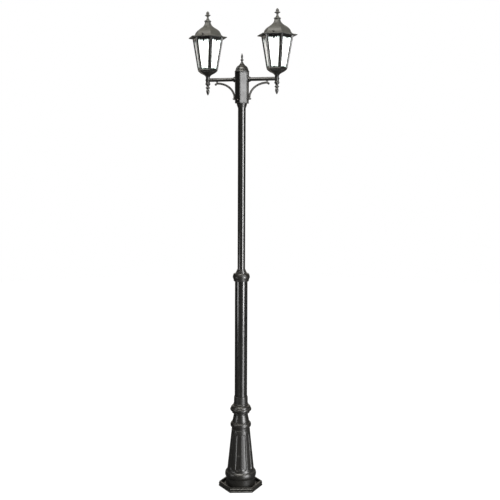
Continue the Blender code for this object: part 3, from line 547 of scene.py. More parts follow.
def ball_mesh(place, radius, segments):
    shape = bmesh.new()
    bmesh.ops.create_uvsphere(shape, u_segments=segments, v_segments=segments // 2, radius=radius)
    bmesh.ops.translate(shape, vec=Vector(place), verts=shape.verts)
    return to_mesh(shape)


def carve(mesh, tools, operation="DIFFERENCE"):
    """The mesh after a Boolean with each tool mesh in turn."""
    work = in_scene("work", mesh)
    helpers = [in_scene("tool", tool) for tool in tools]
    for helper in helpers:
        modifier = work.modifiers.new("cut", "BOOLEAN")
        modifier.operation = operation
        modifier.solver = "EXACT"
        modifier.object = helper
    bpy.context.view_layer.update()
    evaluated = work.evaluated_get(bpy.context.evaluated_depsgraph_get())
    result = bpy.data.meshes.new_from_object(evaluated)
    for item in (work, *helpers):
        bpy.data.objects.remove(item, do_unlink=True)
    return result


def joined(meshes):
    shape = bmesh.new()
    for mesh in meshes:
        shape.from_mesh(mesh)
    mesh = bpy.data.meshes.new("mesh")
    shape.to_mesh(mesh)
    shape.free()
    return mesh


def polar(radius, angle, z=0.0):
    return Vector((radius * cos(angle), radius * sin(angle), z))


# Base

def make_plinth():
    rim = PLINTH_RIM
    outline = [
        (rim, 0.0, 0.0006), (rim, 0.0062, 0.0008), (rim - 0.0022, 0.0078, 0.0006),
        (rim - 0.0024, 0.0122, 0.0008), (rim - 0.001, 0.0142, 0.0008), (rim - 0.001, 0.0204, 0.0008),
        (rim - 0.003, 0.022, 0.0006), (rim - 0.0034, 0.0285, 0.001), (rim - 0.013, 0.0285, 0.0012),
        (rim - 0.0165, 0.012, 0.0015), (0.066, 0.012), (0.066, 0.0),
    ]
    mesh = hex_mesh(outline, turn=PLINTH_TURN, rounding=0.002)
    holes = []
    for i in range(6):
        angle = PLINTH_TURN + radians(60 * i)
        holes.append(rod_mesh(polar(0.0995, angle, -0.005), polar(0.0995, angle, 0.02), 0.006, 28))
    for i in range(3):
        angle = PLINTH_TURN + radians(30 + 120 * i)
        holes.append(rod_mesh(polar(0.074, angle, -0.005), polar(0.074, angle, 0.0065), 0.0078, 28))
    mesh = carve(mesh, holes)
    finish_piece("plinth_casting", mesh, "cast", "post", "base_plinth")
    for i in range(6):
        ridge = mitre_rib(PLINTH_TURN + radians(60 * i))
        finish_piece(f"plinth_mitre_{i + 1}", ridge, "cast", "post", "base_plinth", added=True)


def mitre_rib(angle):
    """A low rib down each corner of the plinth, where two moulded sides meet."""
    stations = [(0.135, 0.001), (0.135, 0.006), (0.1332, 0.0078), (0.1332, 0.0124), (0.1342, 0.0144),
                (0.1342, 0.0202), (0.1322, 0.0222), (0.1318, 0.0278), (0.13, 0.0282), (0.1225, 0.0282)]
    radius, sunk, sides = 0.0018, 0.0024, 10
    out, across = polar(1.0, angle), polar(1.0, angle + pi / 2)
    turns = [tau * k / sides for k in range(sides)]
    rings = []
    for r, z in stations:
        centre = polar(r - sunk, angle, z)
        rings.append([centre + radius * (cos(t) * across + sin(t) * out) for t in turns])
    return skin(rings, closed=False)


def cone_radius(z):
    share = (CONE_TOP - z) / (CONE_TOP - CONE_BASE)
    return CONE_TOP_RADIUS + share * (CONE_BASE_RADIUS - CONE_TOP_RADIUS)


def flute_depth(angle, z):
    """How far the surface sinks: each channel is a stadium with rounded ends."""
    bottom, top, depth = 0.1175, 0.3395, 0.0034
    share, flat = 0.205, 0.7  # half-width over the cone's radius, and the part of it that is level
    pitch = tau / FLUTES
    turn = (angle - DOOR_ANGLE) % pitch
    offset = (turn - pitch / 2) * cone_radius(z)
    top_half, low_half = share * cone_radius(0.325), share * cone_radius(0.135)
    over = max(0.0, z - (top - top_half), (bottom + low_half) - z)
    reach = hypot(offset, over) / (share * cone_radius(z))
    if reach >= 1:
        return 0.0
    t = min(1.0, max(0.0, (reach - flat) / (1 - flat)))
    return depth * (1 - t * t * (3 - 2 * t))


def pedestal_mesh():
    foot = 0.0123
    outer = [
        (0.044, 0.4085, 0.0005), (0.056, 0.4085, 0.0008),
        (0.0572, 0.4062, 0.0005), *bead(0.0574, 0.4045, 0.3775, 0.006, 16), (0.0566, 0.3764, 0.0006),
        (0.0552, 0.3748, 0.0008),
        (0.0548, 0.364, 0.0008), *bead(0.055, 0.3612, 0.355, 0.0024, 8),
        (0.0556, 0.353, 0.0006), (0.0572, 0.349, 0.0008),
    ]
    heights = [0.3475 - 0.002 * i for i in range(17)]
    heights += [0.3135 - 0.01 * i for i in range(17)]
    heights += [0.15 - 0.002 * i for i in range(18)]
    lower = [
        (0.0815, 0.1135, 0.001), *curve((0.0826, 0.11), (0.088, 0.1015), -0.001, 6),
        *bead(0.0891, 0.0992, 0.0645, 0.0063, 16), (0.0884, 0.0632, 0.0006), (0.0878, 0.059, 0.0012),
        (0.0884, 0.035, 0), (0.0893, foot, 0.0008),
        (0.064, foot), (0.064, 0.024), (0.08, 0.024, 0.004), (0.08, 0.058, 0.006), (0.074, 0.105, 0.004),
        (0.0495, 0.345, 0.004), (0.047, 0.372, 0.003), (0.044, 0.38),
    ]
    outline = filleted(outer + [(cone_radius(z), z, 0) for z in heights] + lower, closed=True)
    offsets = (-15.0, -13.2, -11.9, -11.2, -10.5, -9.8, -9.0, -8.0, -4.5, 0.0, 4.5, 8.0, 9.0, 9.8, 10.5,
               11.2, 11.9, 13.2)
    angles = [DOOR_ANGLE + radians(15 + 30 * i + o) for i in range(FLUTES) for o in offsets]
    rings = []
    for r, z in outline:
        on_cone = 0.112 < z < 0.348 and abs(r - cone_radius(z)) < 0.0008
        ring = []
        for a in angles:
            depth = flute_depth(a, z) if on_cone else 0.0
            ring.append(Vector(((r - depth) * cos(a), (r - depth) * sin(a), z)))
        rings.append(ring)
    return skin(rings, closed=True)


def make_pedestal():
    mesh = pedestal_mesh()
    turn = Matrix.Rotation(DOOR_ANGLE, 4, "Z")
    opening = box_mesh((0.03, -0.03, 0.206), (0.11, 0.03, 0.3405))
    opening.transform(turn)
    blank = box_mesh((0.035, -0.0295, 0.2065), (0.105, 0.0295, 0.34))
    blank.transform(turn)
    door = carve(mesh.copy(), [blank], "INTERSECT")
    axis = polar(1.0, DOOR_ANGLE)
    centre = Vector((0, 0, DOOR_SCREW_Z))
    door = carve(door, [rod_mesh(centre + axis * 0.04, centre + axis * 0.09, 0.0036)])
    body = carve(mesh, [opening])
    finish_piece("pedestal_casting", body, "cast", "post", "pedestal_body")
    finish_piece("door_plate", door, "cast", "door", "access_door", bevel=0.0004)
    face = cone_radius(0.2245) + 0.0003
    outline = [
        (0, 0.0418), (0.0028, 0.0418), (0.003, 0.044), (0.003, face), (0.0055, face, 0.0003),
        (0.0053, face + 0.0018, 0.0008), (0.003, face + 0.0032, 0.0006), (0.0026, face + 0.0032, 0.0002),
        (0.0026, face + 0.0012, 0.0002), (0, face + 0.0012),
    ]
    screw = turned_mesh(outline, 40, place=centre, direction=axis, fillet=0.0002)
    finish_piece("door_screw_head", screw, "cast", "door_screw", "door_screw")


# Post

def make_neck():
    outline = [
        (0.0383, 0.567, 0.0004), (0.0412, 0.567, 0.001), (0.0418, 0.564, 0), (0.0426, 0.523, 0.001),
        *bead(0.044, 0.5218, 0.514, 0.0026, 10), (0.0446, 0.5128, 0.0006),
        *curve((0.0464, 0.5118), (0.0592, 0.5012), 0.003, 8), (0.0596, 0.4985, 0.0006),
        (0.061, 0.4972, 0.0006), *bead(0.0602, 0.495, 0.4795, 0.0046, 14),
        *spline([(0.0588, 0.477), (0.056, 0.4735), (0.053, 0.4712)], 4),
        *bead(0.0516, 0.4705, 0.465, 0.002, 8), (0.048, 0.4632, 0.0008),
        *spline([(0.0448, 0.461), (0.043, 0.456), (0.044, 0.45), (0.0462, 0.438), (0.0486, 0.427),
                 (0.0508, 0.416), (0.0516, 0.4105)], 5),
        (0.0516, 0.4088, 0.0006), (0.0435, 0.4088), (0.0435, 0.386), (0.0335, 0.386), (0.0335, 0.4315),
        (0.0383, 0.4315),
    ]
    mesh = turned_mesh(outline, 96)
    mesh = carve(mesh, [rod_mesh((0, 0.03, NECK_SCREW_Z), (0, 0.05, NECK_SCREW_Z), 0.0027)])
    finish_piece("neck_casting", mesh, "cast", "post", "pedestal_neck")


def make_tube(name, node, radius, bottom, top):
    inner = radius - TUBE_WALL
    outline = [(radius, top), (radius, bottom), (inner, bottom), (inner, top)]
    mesh = turned_mesh(outline, 96, fillet=0.0004)
    finish_piece(name, mesh, "tube", "post", node)


def make_mid_collar():
    base, top = 1.2755, 1.3455
    outline = [
        (0.0231, top, 0.0003), (0.026, top, 0.0006), (0.027, top - 0.0035, 0.0008),
        (0.0275, top - 0.0088, 0.0006), (0.0306, top - 0.0102, 0.0008), (0.0312, top - 0.0162, 0.0006),
        (0.034, top - 0.0176, 0.0008), (0.0346, top - 0.0222, 0.0006), (0.0452, top - 0.0236, 0.001),
        *spline([(0.0464, top - 0.0252), (0.0482, top - 0.03), (0.0502, top - 0.0362),
                 (0.0514, top - 0.0426), (0.0512, top - 0.048), (0.0486, top - 0.054),
                 (0.0468, top - 0.059), (0.0456, top - 0.066)], 5),
        (0.0452, base + 0.0012, 0.0006), (0.044, base, 0.0005),
        (0.0383, base), (0.0383, base + 0.023), (0.0348, base + 0.023),
        (0.0348, base - 0.0355), (0.0175, base - 0.0355), (0.0175, base - 0.0303),
        (0.0231, base - 0.0303),
    ]
    mesh = turned_mesh(outline, 96)
    level = top - 0.006
    mesh = carve(mesh, [rod_mesh((0, 0.02, level), (0, 0.03, level), 0.0023)])
    finish_piece("tube_collar", mesh, "cast", "post", "mid_collar")


# Head

def box_face(z):
    share = (z - BOX_BASE) / (BOX_TOP - BOX_BASE)
    return HEX_COS * (0.0417 + share * 0.0013)


def make_head():
    outline = [
        (0.0231, 0), (0.0251, 0, 0.0005), (0.0257, 0.0052, 0.0008), (0.028, 0.0082, 0.001),
        (0.0286, 0.0128, 0.0008), (0.0299, 0.0155, 0.0008), (0.0302, 0.0231, 0.0006), (0.0265, 0.0231),
        (0.0265, 0.0572), (0.0231, 0.0572),
    ]
    collar = turned_mesh(outline, 96, place=(0, 0, HEAD_BASE))
    screw = polar(1.0, SET_SCREW_ANGLE)
    level = Vector((0, 0, SET_SCREW_Z))
    screw_bore = rod_mesh(level - screw * 0.06, level + screw * 0.06, 0.0033)
    finish_piece("swivel_collar", carve(collar, [screw_bore.copy()]), "cast", "head", "head_collar")
    shell = head_box_mesh()
    bores = [
        screw_bore, rod_mesh((-0.06, 0, ARM_Z), (0.06, 0, ARM_Z), 0.009),
        rod_mesh((-0.06, 0, CAP_SCREW_Z), (0.06, 0, CAP_SCREW_Z), 0.0022),
    ]
    finish_piece("head_shell", carve(shell, bores), "tube", "head", "head_box", bevel=0.0006, smooth=False)
    make_cap()
    make_set_screws()


def head_box_mesh():
    height = BOX_TOP - BOX_BASE
    outline = [
        (0.0417, 0), (0.043, height), (0.0392, height), (0.0379, 0.004), (0.0312, 0.004), (0.0312, 0),
    ]
    rings = [round_ring(r, z, 6, radians(30)) for r, z in outline]
    mesh = place_mesh(skin(rings, closed=True), (0, 0, BOX_BASE))
    shape = bmesh.new()
    shape.from_mesh(mesh)
    walls = []
    for face in shape.faces:
        middle = face.calc_center_median()
        outward = face.normal.x * middle.x + face.normal.y * middle.y
        if outward > 0.02 and abs(face.normal.x) < 0.9 and face.calc_area() > 0.004:
            walls.append(face)
    bmesh.ops.inset_individual(shape, faces=walls, thickness=0.0042, depth=0.0)
    bmesh.ops.inset_individual(shape, faces=walls, thickness=0.0008, depth=-0.0012)
    shape.to_mesh(mesh)
    shape.free()
    return mesh


def make_cap():
    outline = [
        (0.03, -0.026), (0.033, -0.026), (0.033, 0.0003), (0.0424, 0.0003, 0.0008), (0.043, 0.003, 0.001),
        (0.0418, 0.0062, 0.001), (0.039, 0.0082, 0.0008), (0.0386, 0.0122, 0.001),
        *spline([(0.0369, 0.0146), (0.0364, 0.0178), (0.035, 0.0222), (0.0322, 0.0274), (0.0276, 0.0332),
                 (0.0222, 0.0372), (0.0182, 0.0404), (0.0148, 0.0444), (0.011, 0.0492),
                 (0.0086, 0.054)], 6),
        (0.0043, 0.054), (0.0043, 0.049),
        *spline([(0.011, 0.043), (0.018, 0.035), (0.026, 0.027), (0.03, 0.016)], 4),
    ]
    cap = turned_mesh(outline, 96, place=(0, 0, BOX_TOP))
    bore = rod_mesh((-0.06, 0, CAP_SCREW_Z), (0.06, 0, CAP_SCREW_Z), 0.0022)
    finish_piece("head_dome", carve(cap, [bore]), "cast", "head", "head_cap")
    spear = [
        (0, -0.01), (0.004, -0.01), (0.004, 0.0, 0.0004), (0.008, 0.0, 0.0006), (0.0076, 0.0018, 0.0006),
        *spline([(0.006, 0.004), (0.0052, 0.007), (0.0056, 0.0098)], 4),
        *bead(0.0066, 0.013, 0.0186, 0.0038, 10),
        *spline([(0.0052, 0.0202), (0.0046, 0.0232), (0.0054, 0.0272), (0.0061, 0.0318), (0.0059, 0.0372),
                 (0.0048, 0.043), (0.0032, 0.0486), (0.0014, 0.053), (0.0004, 0.0545)], 5),
        (0, 0.0547),
    ]
    finial = turned_mesh(spear, 40, place=(0, 0, BOX_TOP + 0.0543), fillet=0.0)
    finish_piece("head_spear", finial, "cast", "head", "head_finial")
    face = box_face(CAP_SCREW_Z) + 0.0003
    head = [
        (0, 0.0305), (0.0019, 0.0305), (0.0019, face), (0.0036, face, 0.0003),
        (0.0033, face + 0.0018, 0.0008), (0.0016, face + 0.0028, 0.0004),
        (0.0014, face + 0.0016, 0.0002), (0, face + 0.0016),
    ]
    for side, sign in SIDES.items():
        screw = turned_mesh(head, 32, place=(0, 0, CAP_SCREW_Z), direction=(sign, 0, 0),
                            fillet=0.0002)
        finish_piece(f"cap_bolt_{side}", screw, "cast", "head", f"cap_screw_{side}")


def make_set_screws():
    outline = [
        (0, 0.0233), (0.0026, 0.0233), (0.003, 0.024), (0.003, 0.0374, 0.0003), (0.0022, 0.0376, 0.0002),
        (0.0018, 0.0356, 0.0002), (0, 0.0352),
    ]
    for name, turn in (("front", 0.0), ("rear", pi)):
        axis = polar(1.0, SET_SCREW_ANGLE + turn)
        screw = turned_mesh(outline, 32, place=(0, 0, SET_SCREW_Z), direction=axis,
                            fillet=0.0002)
        node = f"head_set_screw_{name}"
        finish_piece(f"swivel_screw_{name}", screw, "screw", "head", node)


# Arms

def make_arm(side, sign):
    start = box_face(ARM_Z) + 0.0003
    outline = [
        (0.009, start), (0.0149, start, 0.0006), (0.0153, start + 0.0028, 0.0004),
        (0.016, start + 0.0044, 0.001), (0.016, start + 0.009, 0.001), (0.0146, start + 0.0104, 0.0006),
        (0.0144, start + 0.0136, 0.001), (0.0108, start + 0.0148, 0.001),
        (0.0108, 0.205), (0.009, 0.205),
    ]
    mesh = turned_mesh(outline, 64, place=(0, 0, ARM_Z), direction=(sign, 0, 0))
    x = sign * ARM_REACH
    mesh = carve(mesh, [rod_mesh((x, 0, ARM_Z - 0.02), (x, 0, ARM_Z + 0.02), 0.0124, 64)])
    finish_piece(f"arm_tube_{side}", mesh, "tube", "head", f"arm_{side}")


def rope_mesh(path, sign, pitch=0.034, sides=32):
    """A square bar twisted along the path; its four corners are softly rounded."""
    across = Vector((0, 1, 0))
    travelled = 0.0
    rings = []
    for i, point in enumerate(path):
        if i:
            travelled += (point - path[i - 1]).length
        ahead = (path[min(i + 1, len(path) - 1)] - path[max(i - 1, 0)]).normalized()
        up = ahead.cross(across)
        twist = sign * tau * travelled / pitch
        ring = []
        for k in range(sides):
            a = tau * k / sides
            reach = 0.0056 + 0.00095 * cos(4 * (a - twist)) + 0.00012 * cos(8 * (a - twist))
            ring.append(point + reach * (cos(a) * across + sin(a) * up))
        rings.append(ring)
    return skin(rings, closed=False)


def make_bracket(side, sign):
    path = [Vector((sign * 0.0455, 0, 2.3475 + 0.00105 * i)) for i in range(10)]
    steps = 120
    for i in range(steps + 1):
        turn = radians(180 - 90 * i / steps)
        path.append(Vector((sign * (0.152 + 0.1065 * cos(turn)), 0, 2.358 + 0.086 * sin(turn))))
    path += [Vector((sign * (0.152 + 0.001 * i), 0, 2.444 - 0.00012 * i * i)) for i in range(1, 6)]
    parts = [rope_mesh(path, sign)]
    near, far = sign * (box_face(2.38) + 0.0003), sign * 0.0428
    foot = box_mesh((min(near, far), -0.0062, 2.3455), (max(near, far), 0.0062, 2.3815))
    shape = bmesh.new()
    shape.from_mesh(foot)
    bmesh.ops.bevel(shape, geom=shape.edges[:], offset=0.0014, segments=3, profile=0.6, affect="EDGES")
    shape.to_mesh(foot)
    shape.free()
    parts.append(foot)
    top = ARM_Z - 0.0108 - 0.0002
    stub = [
        (0, 2.442), (0.0046, 2.442), (0.0044, 2.448, 0.001), (0.0052, 2.4515, 0.001),
        (0.0056, top, 0.0004), (0, top),
    ]
    parts.append(turned_mesh(stub, 32, place=(sign * 0.1525, 0, 0)))
    parts.append(ball_mesh((sign * 0.1606, 0, 2.4385), 0.0068, 28))
    parts.append(ball_mesh((sign * 0.157, 0, 2.4425), 0.005, 24))
    parts.append(ball_mesh((sign * 0.052, 0, 2.353), 0.0048, 24))
    finish_piece(f"scroll_bracket_{side}", joined(parts), "cast", "head", f"bracket_{side}")


def make_socket(side, sign):
    x = sign * ARM_REACH
    place = (x, 0, SOCKET_BASE)
    outline = [
        (0.0045, 0), (0.0116, 0, 0.0006), (0.0146, 0.0018, 0.0008), (0.0151, 0.0048, 0.0012),
        (0.0147, 0.0078, 0.0008), (0.0127, 0.0098, 0.0012), (0.012, 0.0115, 0.001),
        (0.012, 0.0445, 0.0008), (0.0054, 0.0445), (0.0054, 0.037), (0.0078, 0.037), (0.0078, 0.0185),
        (0.0045, 0.0185),
    ]
    mesh = turned_mesh(outline, 64, place=place)
    bores = [
        rod_mesh((x, 0, ARM_Z), (x - sign * 0.016, 0, ARM_Z), 0.0055),
        rod_mesh((x + sign * 0.002, 0, ARM_Z), (x + sign * 0.016, 0, ARM_Z), 0.0022),
    ]
    finish_piece(f"socket_casting_{side}", carve(mesh, bores), "cast", "head", f"socket_{side}")
    screw = [
        (0, 0.0095), (0.0019, 0.0095), (0.0019, 0.0121), (0.0038, 0.0121, 0.0003),
        (0.0036, 0.0138, 0.0008), (0.0016, 0.0151, 0.0004), (0.0014, 0.0142, 0.0002), (0, 0.0142),
    ]
    bolt = turned_mesh(screw, 32, place=(x, 0, ARM_Z), direction=(sign, 0, 0), fillet=0.0002)
    finish_piece(f"socket_bolt_{side}", bolt, "cast", "head", f"socket_screw_{side}")
    drop = [
        (0, 0.015), (0.004, 0.015), (0.004, -0.0003, 0.0004), (0.0117, -0.0003, 0.0006),
        (0.0116, -0.0022, 0.0008),
        *spline([(0.0092, -0.0042), (0.008, -0.0066), (0.0078, -0.0098), (0.009, -0.013),
                 (0.011, -0.0148)], 4),
        *bead(0.0108, -0.015, -0.0208, 0.0024, 10),
        *spline([(0.0098, -0.0216), (0.0078, -0.0236), (0.0074, -0.0262), (0.0086, -0.03),
                 (0.0098, -0.0345), (0.0099, -0.0395), (0.0088, -0.045), (0.0066, -0.051),
                 (0.004, -0.057), (0.0014, -0.0615)], 5),
        (0, -0.0625),
    ]
    pendant = turned_mesh(drop, 48, place=place, fillet=0.0)
    finish_piece(f"drop_finial_{side}", pendant, "cast", "head", f"pendant_{side}")


# Lanterns

def cage_radius(z):
    share = (z - RIM_Z) / (CROWN_Z - RIM_Z)
    return 0.0598 + share * 0.033


def make_tray(side, x):
    outline = [
        (0.06, 0, 0.0005), (0.0608, -0.0018, 0.0008), (0.0608, -0.0042, 0.0008),
        *spline([(0.06, -0.0056), (0.058, -0.0078), (0.0532, -0.0116), (0.0476, -0.016),
                 (0.0424, -0.0196), (0.037, -0.0224), (0.031, -0.0248), (0.0256, -0.0278),
                 (0.0212, -0.0304), (0.0172, -0.0342), (0.014, -0.0384)], 5),
        (0.0136, -0.0402, 0.0004),
        (0.0064, -0.0402), (0.0064, -0.0265), (0.026, -0.0215), (0.04, -0.0155), (0.049, -0.0095),
        (0.0518, -0.006), (0.0518, 0),
    ]
    parts = [hex_mesh(outline, rounding=0.0016, place=(x, 0, RIM_Z))]
    for i in range(6):
        for k in range(6):
            parts.append(bowl_bead(x, i, (k - 2.5) * 0.0074, 0.0128))
    finish_piece(f"bowl_{side}", joined(parts), "cast", "head", f"lantern_tray_{side}")


def bowl_bead(x, number, across, drop):
    angle = radians(30 + 60 * number)
    flat = 0.0524 * HEX_COS
    place = (x + flat * cos(angle) - across * sin(angle),
             flat * sin(angle) + across * cos(angle), RIM_Z - drop + 0.001)
    return ball_mesh(place, 0.0021, 12)


def teeth(t, tips):
    """Height of a cusped edge at share t of the half-width: each tip is (share, half-width, height)."""
    height = 0.0
    for centre, reach, tall in tips:
        away = abs(t - centre) / reach
        if away < 1:
            height = max(height, tall * (1 - away) ** 1.15)
    return height


def window_outline():
    """One side's window as (share of the half-width, height), counter-clockwise from its lower left."""
    bottom, top = RIM_Z + 0.0045, CROWN_Z - 0.013
    low_tips = [(0, 0.27, 0.0094), (-0.46, 0.24, 0.0058), (0.46, 0.24, 0.0058), (-0.86, 0.18, 0.0028),
                (0.86, 0.18, 0.0028)]
    top_tips = [(0, 0.27, 0.0155), (-0.46, 0.24, 0.0082), (0.46, 0.24, 0.0082), (-0.86, 0.18, 0.0044),
                (0.86, 0.18, 0.0044)]
    count = 60
    shares = [-1 + 2 * i / count for i in range(count + 1)]
    lower = [(t, bottom + teeth(t, low_tips)) for t in shares]
    upper = [(t, top - teeth(t, top_tips)) for t in reversed(shares)]
    return lower + upper


def cage_point(number, across, z, inset):
    flat = cage_radius(z) * HEX_COS - inset
    angle = radians(30 + 60 * number)
    return Vector((
        flat * cos(angle) - across * sin(angle), flat * sin(angle) + across * cos(angle), z,
    ))


def cage_mesh():
    bar = 0.012
    low, high = RIM_Z + 0.0003, CROWN_Z
    window = window_outline()
    shape = bmesh.new()
    for number in range(6):
        loops = {}
        for inset in (0.0, CAGE_WALL):
            halves = {z: (cage_radius(z) * HEX_COS - inset) * tan(radians(30)) for z in (low, high)}
            corners = [(-halves[low], low), (halves[low], low), (halves[high], high), (-halves[high], high)]
            hole = [(share * (cage_radius(z) / 2 - bar), z) for share, z in window]
            flat = [[Vector((a, z, 0)) for a, z in corners], [Vector((a, z, 0)) for a, z in hole]]
            made = [shape.verts.new(cage_point(number, a, z, inset)) for a, z in corners + hole]
            for triple in tessellate_polygon(flat):
                shape.faces.new([made[i] for i in triple])
            loops[inset] = made
        outer, inner = loops[0.0], loops[CAGE_WALL]
        for k in (0, 2):
            shape.faces.new((outer[k], outer[k + 1], inner[k + 1], inner[k]))
        count = len(window)
        for k in range(count):
            a, b = 4 + k, 4 + (k + 1) % count
            shape.faces.new((outer[a], outer[b], inner[b], inner[a]))
    return to_mesh(shape)


# Half of a corner bar's section, as (distance from its middle, height over the frame).
MOULDING = (
    (0.0032, 0.0002), (0.005, 0.0002), (0.0056, 0.0012), (0.0092, 0.0012), (0.0098, 0.0002),
    (0.01, -0.0006),
)


def corner_bar(number, x):
    """Moulding along one corner: a bead between two raised lips."""
    angle = radians(60 * number)
    out, across = polar(1.0, angle), polar(1.0, angle + pi / 2)
    profile = []
    for k in range(9):
        a = radians(-90 + 22.5 * k)
        profile.append((0.001 + 0.0014 * cos(a), 0.0021 * sin(a)))
    slope = tan(radians(30))
    for reach, lift in MOULDING:
        profile.append((-reach * slope + lift, reach))
    profile.append((-0.01 * slope - 0.0016, 0.0096))
    profile.append((-0.01 * slope - 0.0016, -0.0096))
    for reach, lift in reversed(MOULDING):
        profile.append((-reach * slope + lift, -reach))
    rings = []
    for z in (RIM_Z + 0.0006, RIM_Z + 0.003, CROWN_Z - 0.004, CROWN_Z - 0.0008):
        centre = Vector((x, 0, z)) + out * cage_radius(z)
        rings.append([centre + out * a + across * b for a, b in profile])
    return skin(rings, closed=False)


def hinge_bore(x):
    return rod_mesh((x - 0.02, HINGE_Y, HINGE_Z), (x + 0.02, HINGE_Y, HINGE_Z), 0.0021)


def make_cage(side, x):
    name = f"lantern_cage_{side}"
    mesh = place_mesh(cage_mesh(), (x, 0, 0))
    web = box_mesh((x - 0.0105, 0.08, HINGE_Z - 0.0145), (x + 0.0105, 0.1165, HINGE_Z - 0.0085))
    root = box_mesh((x - 0.01, 0.0786, HINGE_Z - 0.014), (x + 0.01, 0.084, CROWN_Z - 0.0009))
    lug = box_mesh((x - 0.0065, -0.0965, CROWN_Z - 0.007), (x + 0.0065, -0.0785, CROWN_Z - 0.0009))
    ears = [root, lug]
    for near, far in ((-0.0105, -0.0065), (0.0065, 0.0105)):
        ears.append(box_mesh((x + near, HINGE_Y - 0.0045, HINGE_Z - 0.01),
                             (x + far, HINGE_Y + 0.0045, HINGE_Z + 0.0045)))
    mesh = carve(mesh, [web, *ears], "UNION")
    mesh = carve(mesh, [hinge_bore(x),
                        rod_mesh((x, LOCK_Y, CROWN_Z - 0.01), (x, LOCK_Y, CROWN_Z + 0.009), 0.0029)])
    finish_piece(name, mesh, "tube", "head", f"lantern_frame_{side}", bevel=0.0003, smooth=False)
    for i in range(6):
        finish_piece(f"corner_moulding_{side}_{i + 1}", corner_bar(i, x), "tube", "head",
                     f"lantern_frame_{side}", added=True)


def make_diffuser(side, x):
    low, high = RIM_Z + 0.0003, CROWN_Z - 0.0007
    inset, wall = (CAGE_WALL + 0.0004) / HEX_COS, 0.003 / HEX_COS
    outline = []
    for z, depth in ((low, inset), (high, inset), (high, inset + wall), (low, inset + wall)):
        outline.append((cage_radius(z) - depth, z, 0.0003))
    mesh = hex_mesh(outline, rounding=0.002, place=(x, 0, 0))
    finish_piece(f"opal_liner_{side}", mesh, "opal", "head", f"diffuser_{side}")


def make_roof(side, x):
    body = f"roof_{side}"
    outline = [
        (0.005, 0.093, 0.0003), (0.0182, 0.093, 0.0005),
        *spline([(0.0183, 0.0915), (0.0186, 0.0872), (0.0198, 0.0824), (0.0222, 0.0772), (0.0266, 0.0712),
                 (0.033, 0.065), (0.0408, 0.0594), (0.0482, 0.0548), (0.0552, 0.0504), (0.0618, 0.0458),
                 (0.068, 0.0408), (0.0734, 0.0352), (0.0774, 0.0292), (0.08, 0.0234), (0.0824, 0.0182),
                 (0.0866, 0.0128), (0.092, 0.009), (0.1, 0.0058), (0.109, 0.0046), (0.115, 0.004)], 4),
        (0.119, 0.0034, 0.0008), (0.1195, 0.002, 0.0006), (0.1185, -0.0005, 0.0004), (0.115, -0.0005),
        (0.1, 0.0003), (0.08, 0.0003),
        (0.0775, 0.011), (0.0725, 0.027), (0.0635, 0.0365), (0.051, 0.046), (0.0345, 0.0555),
        (0.02, 0.069), (0.015, 0.085), (0.005, 0.0865),
    ]
    mesh = hex_mesh(outline, rounding=0.0022, fillet=0.0008, place=(x, 0, CROWN_Z))
    lug = box_mesh((x - 0.006, 0.102, HINGE_Z - 0.0045), (x + 0.006, 0.1165, HINGE_Z + 0.0045))
    mesh = carve(mesh, [lug], "UNION")
    cuts = [
        hinge_bore(x),
        rod_mesh((x, LOCK_Y, CROWN_Z - 0.01), (x, LOCK_Y, CROWN_Z + 0.012), 0.0029),
    ]
    for i in range(6):
        slot = box_mesh((0.02, -0.0062, 0.0584), (0.04, 0.0062, 0.0616))
        slot.transform(Matrix.Translation((x, 0, CROWN_Z)) @ Matrix.Rotation(radians(30 + 60 * i), 4, "Z"))
        cuts.append(slot)
    finish_piece(f"roof_casting_{side}", carve(mesh, cuts), "roof", body, f"roof_{side}")
    make_finial(side, x, body)
    knob = knob_mesh()
    place_mesh(knob, (x, LOCK_Y, CROWN_Z))
    finish_piece(f"lock_knob_{side}", knob, "cast", f"lock_screw_{side}", f"lock_screw_{side}")


def knob_mesh():
    """Thumb screw with a fluted rim."""
    outline = [
        (0, -0.0068), (0.0021, -0.0068), (0.0025, -0.0062), (0.0025, 0.0072), (0.0038, 0.0072, 0.0003),
        (0.0038, 0.01, 0.0004), (0.005, 0.0108, 0.0004), (0.0054, 0.0118, 0.0004),
        (0.0054, 0.0164, 0.0008), (0.0042, 0.0188, 0.001), (0.002, 0.0191, 0.0004), (0, 0.0192),
    ]
    points = [p for p in filleted(outline, closed=False, default=0.0002) if p[0] > 1e-5]
    rings = []
    for r, z in points:
        ring = []
        for k in range(48):
            a = tau * k / 48
            rim = 1.0 if r < 0.0046 else 1 - 0.035 * (1 + cos(12 * a))
            ring.append(Vector((r * rim * cos(a), r * rim * sin(a), z)))
        rings.append(ring)
    return skin(rings, closed=False)


